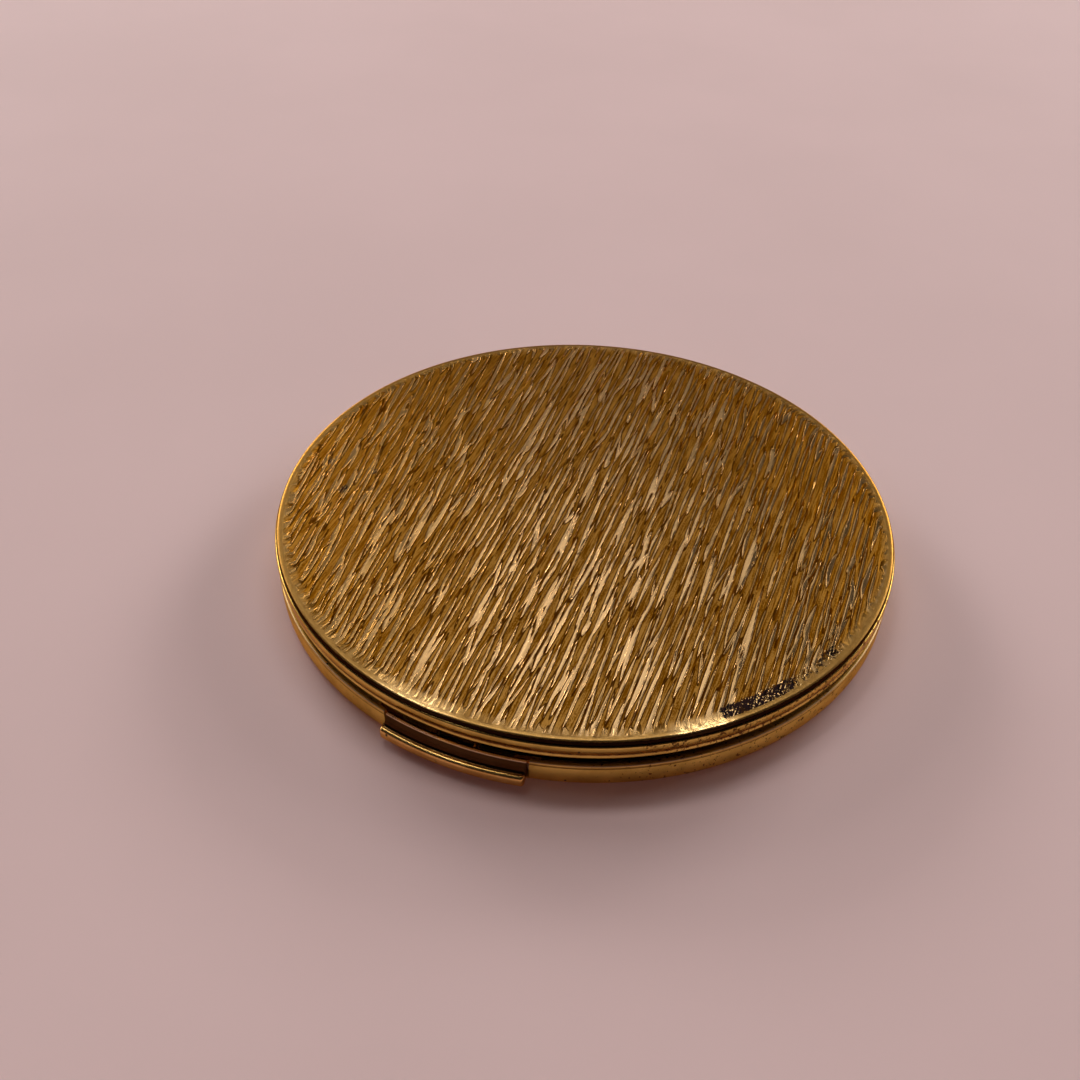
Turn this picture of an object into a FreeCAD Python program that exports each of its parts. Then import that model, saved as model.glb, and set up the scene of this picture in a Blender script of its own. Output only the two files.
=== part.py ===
import FreeCAD, Part
import math
import os

# Round pressed-brass vanity compact, closed: mirror lid, powder well, pin hinge and sprung thumb catch.
# Millimetres. Origin at the centre of the underside, +Z up, thumb catch towards -Y, hinge towards +Y.

# Fits shared by the whole case
fit_clearance = 0.05         # between pieces of one assembly that seat on each other
running_clearance = 0.15     # between pieces that pass each other as the lid or the catch moves
cut_overrun = 2.0            # how far every cutting tool runs past what it cuts
flat_angle = 45.0            # degrees of a turned round that each of its flats takes up

# Base shell, a pressed cup
rim_radius = 37.5            # outside of the base wall and of the lid's beads
base_sheet = 0.55
base_height = 3.25
base_corner = 1.0

# Split line, and the lid's beaded band
split_gap = 1.05
lower_bead_height = 0.6
lower_bead_tuck = 0.25       # how far the band's bottom edge draws in
bead_groove_depth = 0.15
band_height = 1.3
band_shoulder = 0.3          # how far the band's top draws in
lid_groove = 0.1             # open groove between the band and the lid panel

# Lid panel, a pressed cap
panel_setback = 0.2
panel_sheet = 0.4
panel_edge_height = 0.6
panel_edge_round = 0.45

# Mirror and its bezel
glass_thickness = 0.95
pad_thickness = 0.2
bezel_sheet = 0.35
bezel_lip_width = 1.0

# Hinge: two rolled leaves on one pin
pin_radius = 0.5
pin_clearance = 0.03
pin_overhang = 0.1
leaf_sheet = 0.5
leaf_foot_length = 1.5
hinge_length = 13.0
knuckle_count = 5
knuckle_gap = 0.1
stop_heel_reach = 0.4
stop_heel_height = 0.45

# Thumb catch
catch_angle = 24.4           # degrees of the rim that the lip takes up
catch_end_clearance = 0.25
catch_drop = 0.05            # catch's top edge below the base rim
catch_floor_clearance = 0.2
catch_travel = 0.6
lip_reach = 1.4
lip_round = 0.65
ear_clearance = 0.06
ear_sheet = 0.4
ear_length = 1.5
ear_height = 0.6
loop_sheet = 0.5
loop_height = 0.5
loop_drop = 0.3
loop_corner = 0.4
spring_sheet = 0.25
spring_lift = 0.45           # above the floor of the base
spring_angle = 48.0

# Lid hook, which hangs in the catch's loop
hook_width = 4.0
hook_sheet = 0.35
barb_reach = 0.28
barb_height = 0.4
latch_clearance = 0.07
latch_gap = 0.12

# Powder well, godet, pressed powder and puff
collar_sheet = 0.5
collar_foot = 0.5
pan_clearance = 0.3
pan_sheet = 0.3
pan_height = 2.5
cake_depth = 2.1
puff_clearance = 0.4         # between the puff and the godet's wall, and under the mirror
ribbon_width = 11.0
ribbon_thickness = 0.15

# Where a quarter-round's midpoint lies between its ends
quarter_share = 1 - math.sqrt(0.5)
# Height of the band's fullest point, as a share of the band
band_full_share = 0.6

# Radii and heights worked out from the sizes above
base_inner = rim_radius - base_sheet
floor_top = base_sheet

lid_bottom = base_height + split_gap
lower_bead_top = lid_bottom + lower_bead_height
band_top = lower_bead_top + band_height
skirt_bottom = band_top + lid_groove
panel_top = skirt_bottom + panel_edge_height
panel_under = panel_top - panel_sheet
skirt_outer = rim_radius - panel_setback
skirt_inner = skirt_outer - panel_sheet

lid_bore = base_inner - leaf_sheet
neck_outer = skirt_inner - fit_clearance
neck_top = panel_under - fit_clearance

bezel_outer = lid_bore - fit_clearance
bezel_wall = bezel_outer - bezel_sheet
bezel_lip = bezel_wall - bezel_lip_width
glass_radius = bezel_wall - fit_clearance
glass_top = panel_under - pad_thickness
glass_face = glass_top - glass_thickness
bezel_bottom = glass_face - bezel_sheet

bore_radius = pin_radius + pin_clearance
barrel_radius = bore_radius + leaf_sheet
hinge_y = base_inner + bore_radius
hinge_z = base_height + split_gap / 2
knuckle_pitch = hinge_length / knuckle_count

catch_half_angle = catch_angle / 2
catch_top = base_height - catch_drop
catch_bottom = floor_top + catch_floor_clearance
plate_inner = base_inner - ear_clearance
lip_outer = rim_radius + lip_reach
lip_crest = catch_bottom + 2 * lip_round
loop_top = catch_top - loop_drop
loop_bottom = loop_top - loop_height
loop_half = hook_width / 2 + running_clearance
ear_bottom = loop_top - ear_height
spring_bottom = floor_top + spring_lift
spring_top = min(ear_bottom, loop_bottom) - fit_clearance

hook_outer = plate_inner - catch_travel - running_clearance
hook_inner = hook_outer - hook_sheet
barb_tip = hook_inner - barb_reach
loop_bar_outer = barb_tip - latch_clearance
loop_bar_inner = loop_bar_outer - loop_sheet
barb_top = loop_bottom - latch_gap
hook_bottom = barb_top - barb_height

collar_outer = loop_bar_inner - catch_travel - running_clearance
collar_inner = collar_outer - collar_sheet
collar_top = bezel_bottom - running_clearance
pan_radius = collar_inner - pan_clearance
pan_inner = pan_radius - pan_sheet
pan_floor = floor_top + pan_sheet
pan_top = floor_top + pan_height
cake_radius = pan_inner - fit_clearance
cake_top = pan_floor + cake_depth
puff_radius = pan_inner - puff_clearance
puff_bottom = cake_top + fit_clearance
ribbon_top = glass_face - puff_clearance
puff_top = ribbon_top - ribbon_thickness - fit_clearance
puff_edge_round = (puff_top - puff_bottom) / 2
puff_flat_radius = puff_radius - puff_edge_round

AXIS = FreeCAD.Vector(0, 0, 1)
CENTRE = FreeCAD.Vector(0, 0, 0)
X_AXIS = FreeCAD.Vector(1, 0, 0)


def at(radius, height):
    """A point of a turned section, in the XZ half-plane."""
    return FreeCAD.Vector(radius, 0, height)


def line(start, end):
    """A straight edge between two points."""
    return Part.LineSegment(start, end).toShape()


def arc(start, middle, end):
    """A circular edge through three points."""
    return Part.Arc(start, middle, end).toShape()


def rounded_outline(corners):
    """Edges of a closed outline whose corners are (point, rounding)."""
    starts, ends, rounds = [], [], []
    for index, (point, rounding) in enumerate(corners):
        before = (corners[index - 1][0] - point).normalize()
        after = (corners[(index + 1) % len(corners)][0] - point).normalize()
        half_angle = before.getAngle(after) / 2
        set_back = rounding / math.tan(half_angle)
        starts.append(point + before * set_back)
        ends.append(point + after * set_back)
        inward = (before + after).normalize() if rounding else before
        rounds.append(point + inward * (rounding / math.sin(half_angle) - rounding))
    edges = []
    for index, (point, rounding) in enumerate(corners):
        if rounding:
            edges.append(arc(starts[index], rounds[index], ends[index]))
        edges.append(line(ends[index], starts[(index + 1) % len(corners)]))
    return edges


def outline(points):
    """Edges of a closed outline with plain corners."""
    return [line(start, end) for start, end in zip(points, points[1:] + points[:1])]


def forward(shape):
    """The same solid with its faces turned outward."""
    if shape.Volume < 0:
        shape.reverse()
    return shape


def flattened(edges):
    """One closed wire of straight edges, with each round stretch as a few flats."""
    points = []
    for edge in edges:
        is_round = isinstance(edge.Curve, Part.Circle)
        turn = math.degrees(edge.Length / edge.Curve.Radius) if is_round else flat_angle
        along = edge.discretize(Number=round(turn / flat_angle) + 1)
        if points and along[-1].distanceToPoint(points[-1]) < along[0].distanceToPoint(points[-1]):
            along.reverse()
        points += along[1:] if points else along
    return Part.makePolygon(points[:-1] + points[:1])


def swept(edges, middle_angle, angle):
    """A section in the XZ half-plane turned about Z, centred on a direction in degrees from +X."""
    solid = forward(Part.Face(flattened(edges)).revolve(CENTRE, AXIS, angle))
    solid.rotate(CENTRE, AXIS, middle_angle - angle / 2)
    return solid


def turned(edges):
    """A section in the XZ half-plane turned full circle about Z."""
    return swept(edges, 0, 360)


def block(x_range, y_range, z_range):
    """A box from its limits along each axis."""
    corner = FreeCAD.Vector(x_range[0], y_range[0], z_range[0])
    sizes = [high - low for low, high in (x_range, y_range, z_range)]
    return Part.makeBox(*sizes, corner)


def section(inner, outer, low, high):
    """A plain rectangular section for a ring or part of one."""
    return outline([at(inner, low), at(outer, low), at(outer, high), at(inner, high)])


def degrees_of(length, radius):
    """The angle that a length takes up along a circle."""
    return math.degrees(length / radius)


FRONT = -90.0


def hinge_notch(low, high):
    """Room at the back of a rim for a hinge leaf and its barrel."""
    half = hinge_length / 2 + fit_clearance
    return block((-half, half), (hinge_y - 2 * barrel_radius, hinge_y + cut_overrun), (low, high))


def base_shell():
    """Pressed cup with a rounded foot, notched for the thumb catch and for the hinge."""
    cup = turned(rounded_outline([
        (at(0, 0), 0),
        (at(rim_radius, 0), base_corner),
        (at(rim_radius, base_height), 0),
        (at(base_inner, base_height), 0),
        (at(base_inner, floor_top), 0),
        (at(0, floor_top), 0),
    ]))
    notch_low = catch_bottom - running_clearance
    notch_angle = catch_angle + 2 * degrees_of(catch_end_clearance, rim_radius)
    catch_notch = swept(
        section(base_inner - cut_overrun, rim_radius + cut_overrun, notch_low, base_height + cut_overrun),
        FRONT, notch_angle)
    return cup.cut(catch_notch).cut(hinge_notch(floor_top, base_height + cut_overrun))


def well_collar():
    """Inner ring with a foot, which stands in the base, keeps the powder in and meets the mirror's bezel."""
    foot_outer = collar_outer + collar_foot
    foot_top = floor_top + collar_sheet
    return turned(outline([
        at(collar_inner, floor_top), at(foot_outer, floor_top), at(foot_outer, foot_top),
        at(collar_outer, foot_top), at(collar_outer, collar_top), at(collar_inner, collar_top),
    ]))


def knuckle_spans(first):
    """Where every second knuckle lies along the pin."""
    spans = []
    for index in range(first, knuckle_count, 2):
        low = index * knuckle_pitch - hinge_length / 2
        low_end = low if index == 0 else low + knuckle_gap / 2
        is_last = index == knuckle_count - 1
        high_end = low + knuckle_pitch if is_last else low + knuckle_pitch - knuckle_gap / 2
        spans.append((low_end, high_end))
    return spans


def pin_rod(radius, span):
    """A rod along the hinge axis."""
    start = FreeCAD.Vector(span[0], hinge_y, hinge_z)
    return Part.makeCylinder(radius, span[1] - span[0], start, X_AXIS)


def rolled_leaf(plate, own_spans, other_spans):
    """A leaf plate with its own knuckles rolled on, cut back round the other leaf's knuckles."""
    swing_radius = barrel_radius + knuckle_gap
    for low, high in other_spans:
        plate = plate.cut(pin_rod(swing_radius, (low - knuckle_gap, high + knuckle_gap)))
        plate = plate.cut(block((low - knuckle_gap, high + knuckle_gap),
                                (hinge_y - swing_radius, hinge_y),
                                (hinge_z - swing_radius, hinge_z + swing_radius)))
    for span in own_spans:
        plate = plate.fuse(pin_rod(barrel_radius, span))
    bore = pin_rod(bore_radius, (-hinge_length, hinge_length))
    return plate.cut(bore).removeSplitter()


def leaf_plate(low, high):
    """The flat of a hinge leaf, which lies inside the line of the base wall."""
    half = hinge_length / 2
    return block((-half, half), (hinge_y - barrel_radius, hinge_y - bore_radius), (low, high))


def base_hinge_leaf():
    """Lower leaf: a foot on the floor of the base, an upright and the odd knuckles."""
    half = hinge_length / 2
    outer_face = hinge_y - bore_radius
    foot = block((-half, half), (outer_face - leaf_foot_length, outer_face),
                 (floor_top, floor_top + leaf_sheet))
    plate = leaf_plate(floor_top, hinge_z).fuse(foot)
    return rolled_leaf(plate, knuckle_spans(0), knuckle_spans(1))


def lid_hinge_leaf():
    """Upper leaf: an upright in the lid's band, the even knuckles, and heels that stop the open lid."""
    leaf = rolled_leaf(leaf_plate(hinge_z, skirt_bottom - fit_clearance), knuckle_spans(1), knuckle_spans(0))
    heel_y = (hinge_y + bore_radius, hinge_y + barrel_radius + stop_heel_reach)
    for span in knuckle_spans(1):
        leaf = leaf.fuse(block(span, heel_y, (hinge_z, hinge_z + stop_heel_height)))
    return leaf.removeSplitter()


def hinge_pin():
    """Plain pin, a little longer than the barrel."""
    half = hinge_length / 2 + pin_overhang
    return pin_rod(pin_radius, (-half, half))


def lid_panel():
    """Pressed cap with a rolled edge and a short skirt."""
    return turned(rounded_outline([
        (at(0, panel_top), 0),
        (at(skirt_outer, panel_top), panel_edge_round),
        (at(skirt_outer, skirt_bottom), 0),
        (at(skirt_inner, skirt_bottom), 0),
        (at(skirt_inner, panel_under), 0),
        (at(0, panel_under), 0),
    ]))


def lid_rim():
    """The lid's band: a small lower bead, a fuller upper one and a neck inside the panel's skirt."""
    bottom = at(rim_radius - lower_bead_tuck, lid_bottom)
    bead_full = at(rim_radius, lid_bottom + lower_bead_height / 2)
    groove = at(rim_radius - bead_groove_depth, lower_bead_top)
    band_full = at(rim_radius, lower_bead_top + band_height * band_full_share)
    shoulder = at(rim_radius - band_shoulder, band_top)
    neck = [at(neck_outer, band_top), at(neck_outer, neck_top), at(lid_bore, neck_top)]
    corners = [shoulder] + neck + [at(lid_bore, lid_bottom), bottom]
    edges = [arc(bottom, bead_full, groove), arc(groove, band_full, shoulder)]
    edges += [line(start, end) for start, end in zip(corners, corners[1:])]
    return turned(edges).cut(hinge_notch(lid_bottom - cut_overrun, skirt_bottom))


def mirror_bezel():
    """Ring of angle section that holds the mirror from below."""
    return turned(outline([
        at(bezel_lip, bezel_bottom), at(bezel_outer, bezel_bottom), at(bezel_outer, panel_under),
        at(bezel_wall, panel_under), at(bezel_wall, glass_face), at(bezel_lip, glass_face),
    ]))


def mirror_glass():
    """Round looking glass."""
    return Part.makeCylinder(glass_radius, glass_thickness, at(0, glass_face))


def mirror_pad():
    """Card disc between the glass and the lid panel."""
    return Part.makeCylinder(glass_radius, pad_thickness, at(0, glass_top))


def lid_hook():
    """Angle hook under the front of the bezel, with a barb that reaches below the catch's loop."""
    foot_top = bezel_bottom - fit_clearance
    foot_low = foot_top - hook_sheet
    outline = [
        (lid_bore, foot_top), (lid_bore, foot_low), (hook_outer, foot_low), (hook_outer, hook_bottom),
        (hook_inner, hook_bottom), (barb_tip, (hook_bottom + barb_top) / 2), (barb_tip, barb_top),
        (hook_inner, barb_top), (hook_inner, foot_top),
    ]
    points = [FreeCAD.Vector(-hook_width / 2, -radius, height) for radius, height in outline]
    plate = Part.Face(Part.makePolygon(points + points[:1])).extrude(X_AXIS * hook_width)
    seat = Part.makeCylinder(lid_bore - fit_clearance, foot_top)
    return forward(plate).common(seat)


def thumb_catch():
    """Push piece in the base wall: a plate, a rolled thumb lip, and ears that stop behind the wall."""
    crest = at(lip_outer - lip_round, lip_crest)
    front = at(lip_outer, catch_bottom + lip_round)
    under = at(lip_outer - lip_round, catch_bottom)
    top_outer = at(rim_radius, catch_top)
    hollow = at(rim_radius + (crest.x - rim_radius) * quarter_share,
                lip_crest + (catch_top - lip_crest) * quarter_share)
    body = swept([
        line(at(plate_inner, catch_top), top_outer),
        arc(top_outer, hollow, crest),
        arc(crest, front, under),
        line(under, at(plate_inner, catch_bottom)),
        line(at(plate_inner, catch_bottom), at(plate_inner, catch_top)),
    ], FRONT, catch_angle)
    ear_angle = 2 * degrees_of(ear_length, plate_inner)
    ear_middle = catch_half_angle
    for side in (-1, 1):
        ear = swept(section(plate_inner - ear_sheet, plate_inner, ear_bottom, loop_top),
                    FRONT + side * ear_middle, ear_angle)
        body = body.fuse(ear)
    return body.removeSplitter()


def catch_loop():
    """Square staple behind the thumb plate, which the lid's hook drops into."""
    half = loop_half + loop_sheet
    height = (loop_bottom, loop_top)
    outside = block((-half, half), (-plate_inner, -loop_bar_inner), height)
    uprights = [edge for edge in outside.Edges
                if abs(edge.CenterOfMass.y + loop_bar_inner) < fit_clearance and edge.Length < half
                and abs(edge.CenterOfMass.x) > loop_half]
    outside = outside.makeFillet(loop_corner, uprights)
    inside = block((-loop_half, loop_half), (-rim_radius, -loop_bar_outer),
                   (loop_bottom - cut_overrun, loop_top + cut_overrun))
    seat = Part.makeCylinder(plate_inner - fit_clearance, loop_top)
    return outside.cut(inside).common(seat)


def catch_spring():
    """Bowed leaf spring along the inside of the base wall, behind the thumb plate."""
    outer = plate_inner - fit_clearance
    return swept(section(outer - spring_sheet, outer, spring_bottom, spring_top), FRONT, spring_angle)


def powder_pan():
    """Pressed tin that holds the powder, loose in the well."""
    return turned(outline([
        at(0, floor_top), at(pan_radius, floor_top), at(pan_radius, pan_top),
        at(pan_inner, pan_top), at(pan_inner, pan_floor), at(0, pan_floor),
    ]))


def powder_cake():
    """Disc of pressed powder."""
    return Part.makeCylinder(cake_radius, cake_depth, at(0, pan_floor))


def puff():
    """Flat round powder puff, full at its sides."""
    return turned(outline([
        at(0, puff_top), at(puff_flat_radius, puff_top), at(puff_radius, puff_bottom + puff_edge_round),
        at(puff_flat_radius, puff_bottom), at(0, puff_bottom),
    ]))


def puff_ribbon():
    """Satin finger band across the top of the puff."""
    low = puff_top + fit_clearance
    disc = Part.makeCylinder(puff_flat_radius, ribbon_thickness, at(0, low))
    half = ribbon_width / 2
    return disc.common(block((-puff_radius, puff_radius), (-half, half), (0, panel_top)))


PIECES = [
    base_shell, well_collar, base_hinge_leaf, hinge_pin,
    catch_spring, thumb_catch, catch_loop,
    powder_pan, powder_cake, puff, puff_ribbon,
    lid_rim, lid_panel, lid_hinge_leaf, lid_hook,
    mirror_bezel, mirror_glass, mirror_pad,
]

os.makedirs("parts", exist_ok=True)
for piece in PIECES:
    solid = piece()
    solid.exportStep(f"parts/{piece.__name__}.step")
    box = solid.BoundBox
    print(f"{piece.__name__}: {len(solid.Solids)} solid, {solid.Volume:.2f} mm3, valid {solid.isValid()}, "
          f"z {box.ZMin:.2f} to {box.ZMax:.2f}, y {box.YMin:.2f} to {box.YMax:.2f}")
stop_angle = math.degrees(math.acos(-bore_radius / (barrel_radius + stop_heel_reach)))
print(f"hinge axis y {hinge_y:.3f} z {hinge_z:.3f}, stop at {stop_angle:.1f} degrees")
print(f"case height {panel_top:.2f}, well radius {collar_inner:.2f}, mirror opening {bezel_lip:.2f}")
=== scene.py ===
"""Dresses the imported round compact: gold case, bark-finished lid, catch, hinge, mirror, powder and puff."""

import logging
import math
from dataclasses import dataclass, field
from enum import Enum
from typing import Sequence

import bmesh
import bpy
import numpy as np
from mathutils import Matrix, Vector


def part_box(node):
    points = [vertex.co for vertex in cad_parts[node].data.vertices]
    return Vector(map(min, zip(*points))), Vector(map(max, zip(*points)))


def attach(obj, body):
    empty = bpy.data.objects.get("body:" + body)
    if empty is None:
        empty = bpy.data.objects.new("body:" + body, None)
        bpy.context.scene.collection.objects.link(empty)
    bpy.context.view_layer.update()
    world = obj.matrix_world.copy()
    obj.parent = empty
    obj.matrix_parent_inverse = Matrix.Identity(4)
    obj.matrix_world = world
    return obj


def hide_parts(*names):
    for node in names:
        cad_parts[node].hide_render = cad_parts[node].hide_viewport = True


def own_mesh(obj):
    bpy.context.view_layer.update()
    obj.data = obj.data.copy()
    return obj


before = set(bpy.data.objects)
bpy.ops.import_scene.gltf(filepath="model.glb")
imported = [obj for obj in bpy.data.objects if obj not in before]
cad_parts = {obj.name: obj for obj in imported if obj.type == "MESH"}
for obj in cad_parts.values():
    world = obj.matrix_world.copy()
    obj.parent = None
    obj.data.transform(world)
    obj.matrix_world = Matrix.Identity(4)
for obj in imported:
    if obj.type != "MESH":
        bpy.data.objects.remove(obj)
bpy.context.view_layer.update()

LOG = logging.getLogger("compact")
MM = 0.001
MERGE = 0.0008 * MM
SPLIT = 1e-6
HOOK_EDGE = 0.05
FRONT = -math.pi / 2
BACK = math.pi / 2
Pair = tuple[float, float]
Colour = tuple[float, float, float]
Corner = tuple[float, float, float]


class Body(Enum):
    """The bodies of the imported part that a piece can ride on."""

    BASE = "base"
    LID = "lid"
    CATCH = "catch"


class Place(Enum):
    """The coordinates that a layer of noise follows."""

    OBJECT = "Object"
    RIM = "UV"


def limits(node: str) -> tuple[Vector, Vector]:
    """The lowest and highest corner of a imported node, in millimetres."""
    low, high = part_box(node)
    return low / MM, high / MM


def smooth(values: np.ndarray, low: float, high: float) -> np.ndarray:
    """Eases from 0 at low to 1 at high."""
    share = np.clip((values - low) / (high - low), 0, 1)
    return share * share * (3 - 2 * share)


def between(values: np.ndarray, rise: Pair, fall: Pair) -> np.ndarray:
    """Eases up from 0 to 1 over the rise, and back to 0 over the fall."""
    return smooth(values, *rise) * (1 - smooth(values, *fall))


def polar(points: np.ndarray) -> tuple[np.ndarray, np.ndarray]:
    """Radius of each point, and its degrees round from the catch in front."""
    x, y = points[:, 0], points[:, 1]
    return np.hypot(x, y), np.degrees(np.arctan2(y, x)) + 90


def swung(radii: np.ndarray | float, heights: np.ndarray | float, turn: np.ndarray | float) -> np.ndarray:
    """Points at those radii and heights, turned about Z."""
    return np.stack(np.broadcast_arrays(radii * np.cos(turn), radii * np.sin(turn), heights), 1)


class Wire:
    """An output of a shader node, whose arithmetic adds Math nodes."""

    def __init__(self, shader: "Shader", socket: bpy.types.NodeSocket) -> None:
        """Keeps the socket with the shader that it belongs to."""
        self.shader = shader
        self.socket = socket

    def __add__(self, other: "Wire | float") -> "Wire":
        """Sum."""
        return self.shader.math("ADD", self, other)

    def __sub__(self, other: "Wire | float") -> "Wire":
        """Difference."""
        return self.shader.math("SUBTRACT", self, other)

    def __rsub__(self, other: float) -> "Wire":
        """Difference from a plain number."""
        return self.shader.math("SUBTRACT", other, self)

    def __mul__(self, other: "Wire | float") -> "Wire":
        """Product."""
        return self.shader.math("MULTIPLY", self, other)

    __radd__ = __add__
    __rmul__ = __mul__

    def eased(self, low: float, high: float) -> "Wire":
        """Eases from 0 where this is low to 1 where it is high."""
        inputs = {0: self, 1: low, 2: high}
        return self.shader.wire(0, "ShaderNodeMapRange", {"interpolation_type": "SMOOTHSTEP"}, inputs)

    def stretched(self, scale: Corner) -> "Wire":
        """This vector with each axis scaled."""
        return self.shader.wire(0, "ShaderNodeVectorMath", {"operation": "MULTIPLY"}, {0: self, 1: scale})


class Shader:
    """A material's node tree, with one method that adds any node."""

    def __init__(self, name: str) -> None:
        """Starts an empty material.

        Args:
            name: Its name.
        """
        self.material = bpy.data.materials.new(name)
        self.material.use_nodes = True
        self.tree = self.material.node_tree
        self.tree.nodes.clear()

    def add(self, kind: str, settings: dict | None = None, inputs: dict | None = None) -> bpy.types.Node:
        """Adds one node.

        Args:
            kind: Blender's name for the node type.
            settings: Properties of the node, which are set first.
            inputs: Values or wires by socket name or number.

        Returns:
            The new node.
        """
        node = self.tree.nodes.new(kind)
        for key, value in (settings or {}).items():
            setattr(node, key, value)
        for key, value in (inputs or {}).items():
            if isinstance(value, Wire):
                self.tree.links.new(value.socket, node.inputs[key])
            else:
                node.inputs[key].default_value = value
        return node

    def wire(self, output: int | str, kind: str, settings: dict | None = None,
             inputs: dict | None = None) -> Wire:
        """Adds one node and takes one of its outputs."""
        return Wire(self, self.add(kind, settings, inputs).outputs[output])

    def math(self, operation: str, *values: Wire | float) -> Wire:
        """One Math node on wires or plain numbers."""
        return self.wire(0, "ShaderNodeMath", {"operation": operation}, dict(enumerate(values)))

    def mask(self, name: str) -> Wire:
        """A value that the mesh carries at its points."""
        return self.wire("Fac", "ShaderNodeAttribute", {"attribute_name": name})

    def place(self, kind: Place = Place.OBJECT) -> Wire:
        """The point's own coordinates, in metres or along the rim."""
        return self.wire(kind.value, "ShaderNodeTexCoord")

    def cells(self, scale: float) -> Wire:
        """Distance to the nearest of many scattered points."""
        return self.wire("Distance", "ShaderNodeTexVoronoi", None, {"Vector": self.place(), "Scale": scale})

    def mix(self, share: Wire, first: Wire | Colour, second: Wire | Colour) -> Wire:
        """A colour between two others."""
        pair = [colour if isinstance(colour, Wire) else (*colour, 1) for colour in (first, second)]
        return self.wire(2, "ShaderNodeMix", {"data_type": "RGBA"}, {0: share, 6: pair[0], 7: pair[1]})

    def bump(self, height: Wire, depth: float, strength: float) -> Wire:
        """A normal from a height whose full rise is depth millimetres."""
        inputs = {"Height": height, "Distance": depth * MM, "Strength": strength}
        return self.wire(0, "ShaderNodeBump", None, inputs)

    def close(self, **inputs: Wire | float | tuple) -> bpy.types.Material:
        """Ends the tree in one Principled shader.

        Args:
            inputs: Values or wires by socket, whose words are joined with underscores.

        Returns:
            The finished material.
        """
        sockets = {key.replace("_", " "): value for key, value in inputs.items()}
        surface = self.wire(0, "ShaderNodeBsdfPrincipled", None, sockets)
        self.add("ShaderNodeOutputMaterial", None, {"Surface": surface})
        return self.material


@dataclass(frozen=True)
class Grain:
    """A layer of noise: how fine it is, how its axes are stretched, its detail, roughness and coordinates."""

    scale: float
    stretch: Corner = (1.0, 1.0, 1.0)
    detail: float = 2.0
    roughness: float = 0.5
    follows: Place = Place.OBJECT

    def on(self, shader: Shader) -> Wire:
        """Adds the layer to a material.

        Args:
            shader: The material's tree.

        Returns:
            Soft random values from 0 to 1.
        """
        where = shader.place(self.follows).stretched(self.stretch)
        inputs = {"Vector": where, "Scale": self.scale, "Detail": self.detail, "Roughness": self.roughness}
        return shader.wire(0, "ShaderNodeTexNoise", None, inputs)


class Finish:
    """A finish of the compact, made into a material once."""

    name = "finish"

    def material(self) -> bpy.types.Material:
        """The finish's material, built on first use."""
        made = bpy.data.materials.get(self.name)
        return made if made else self.build(Shader(self.name))

    def build(self, shader: Shader) -> bpy.types.Material:
        """Builds the material's nodes."""
        raise NotImplementedError


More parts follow.
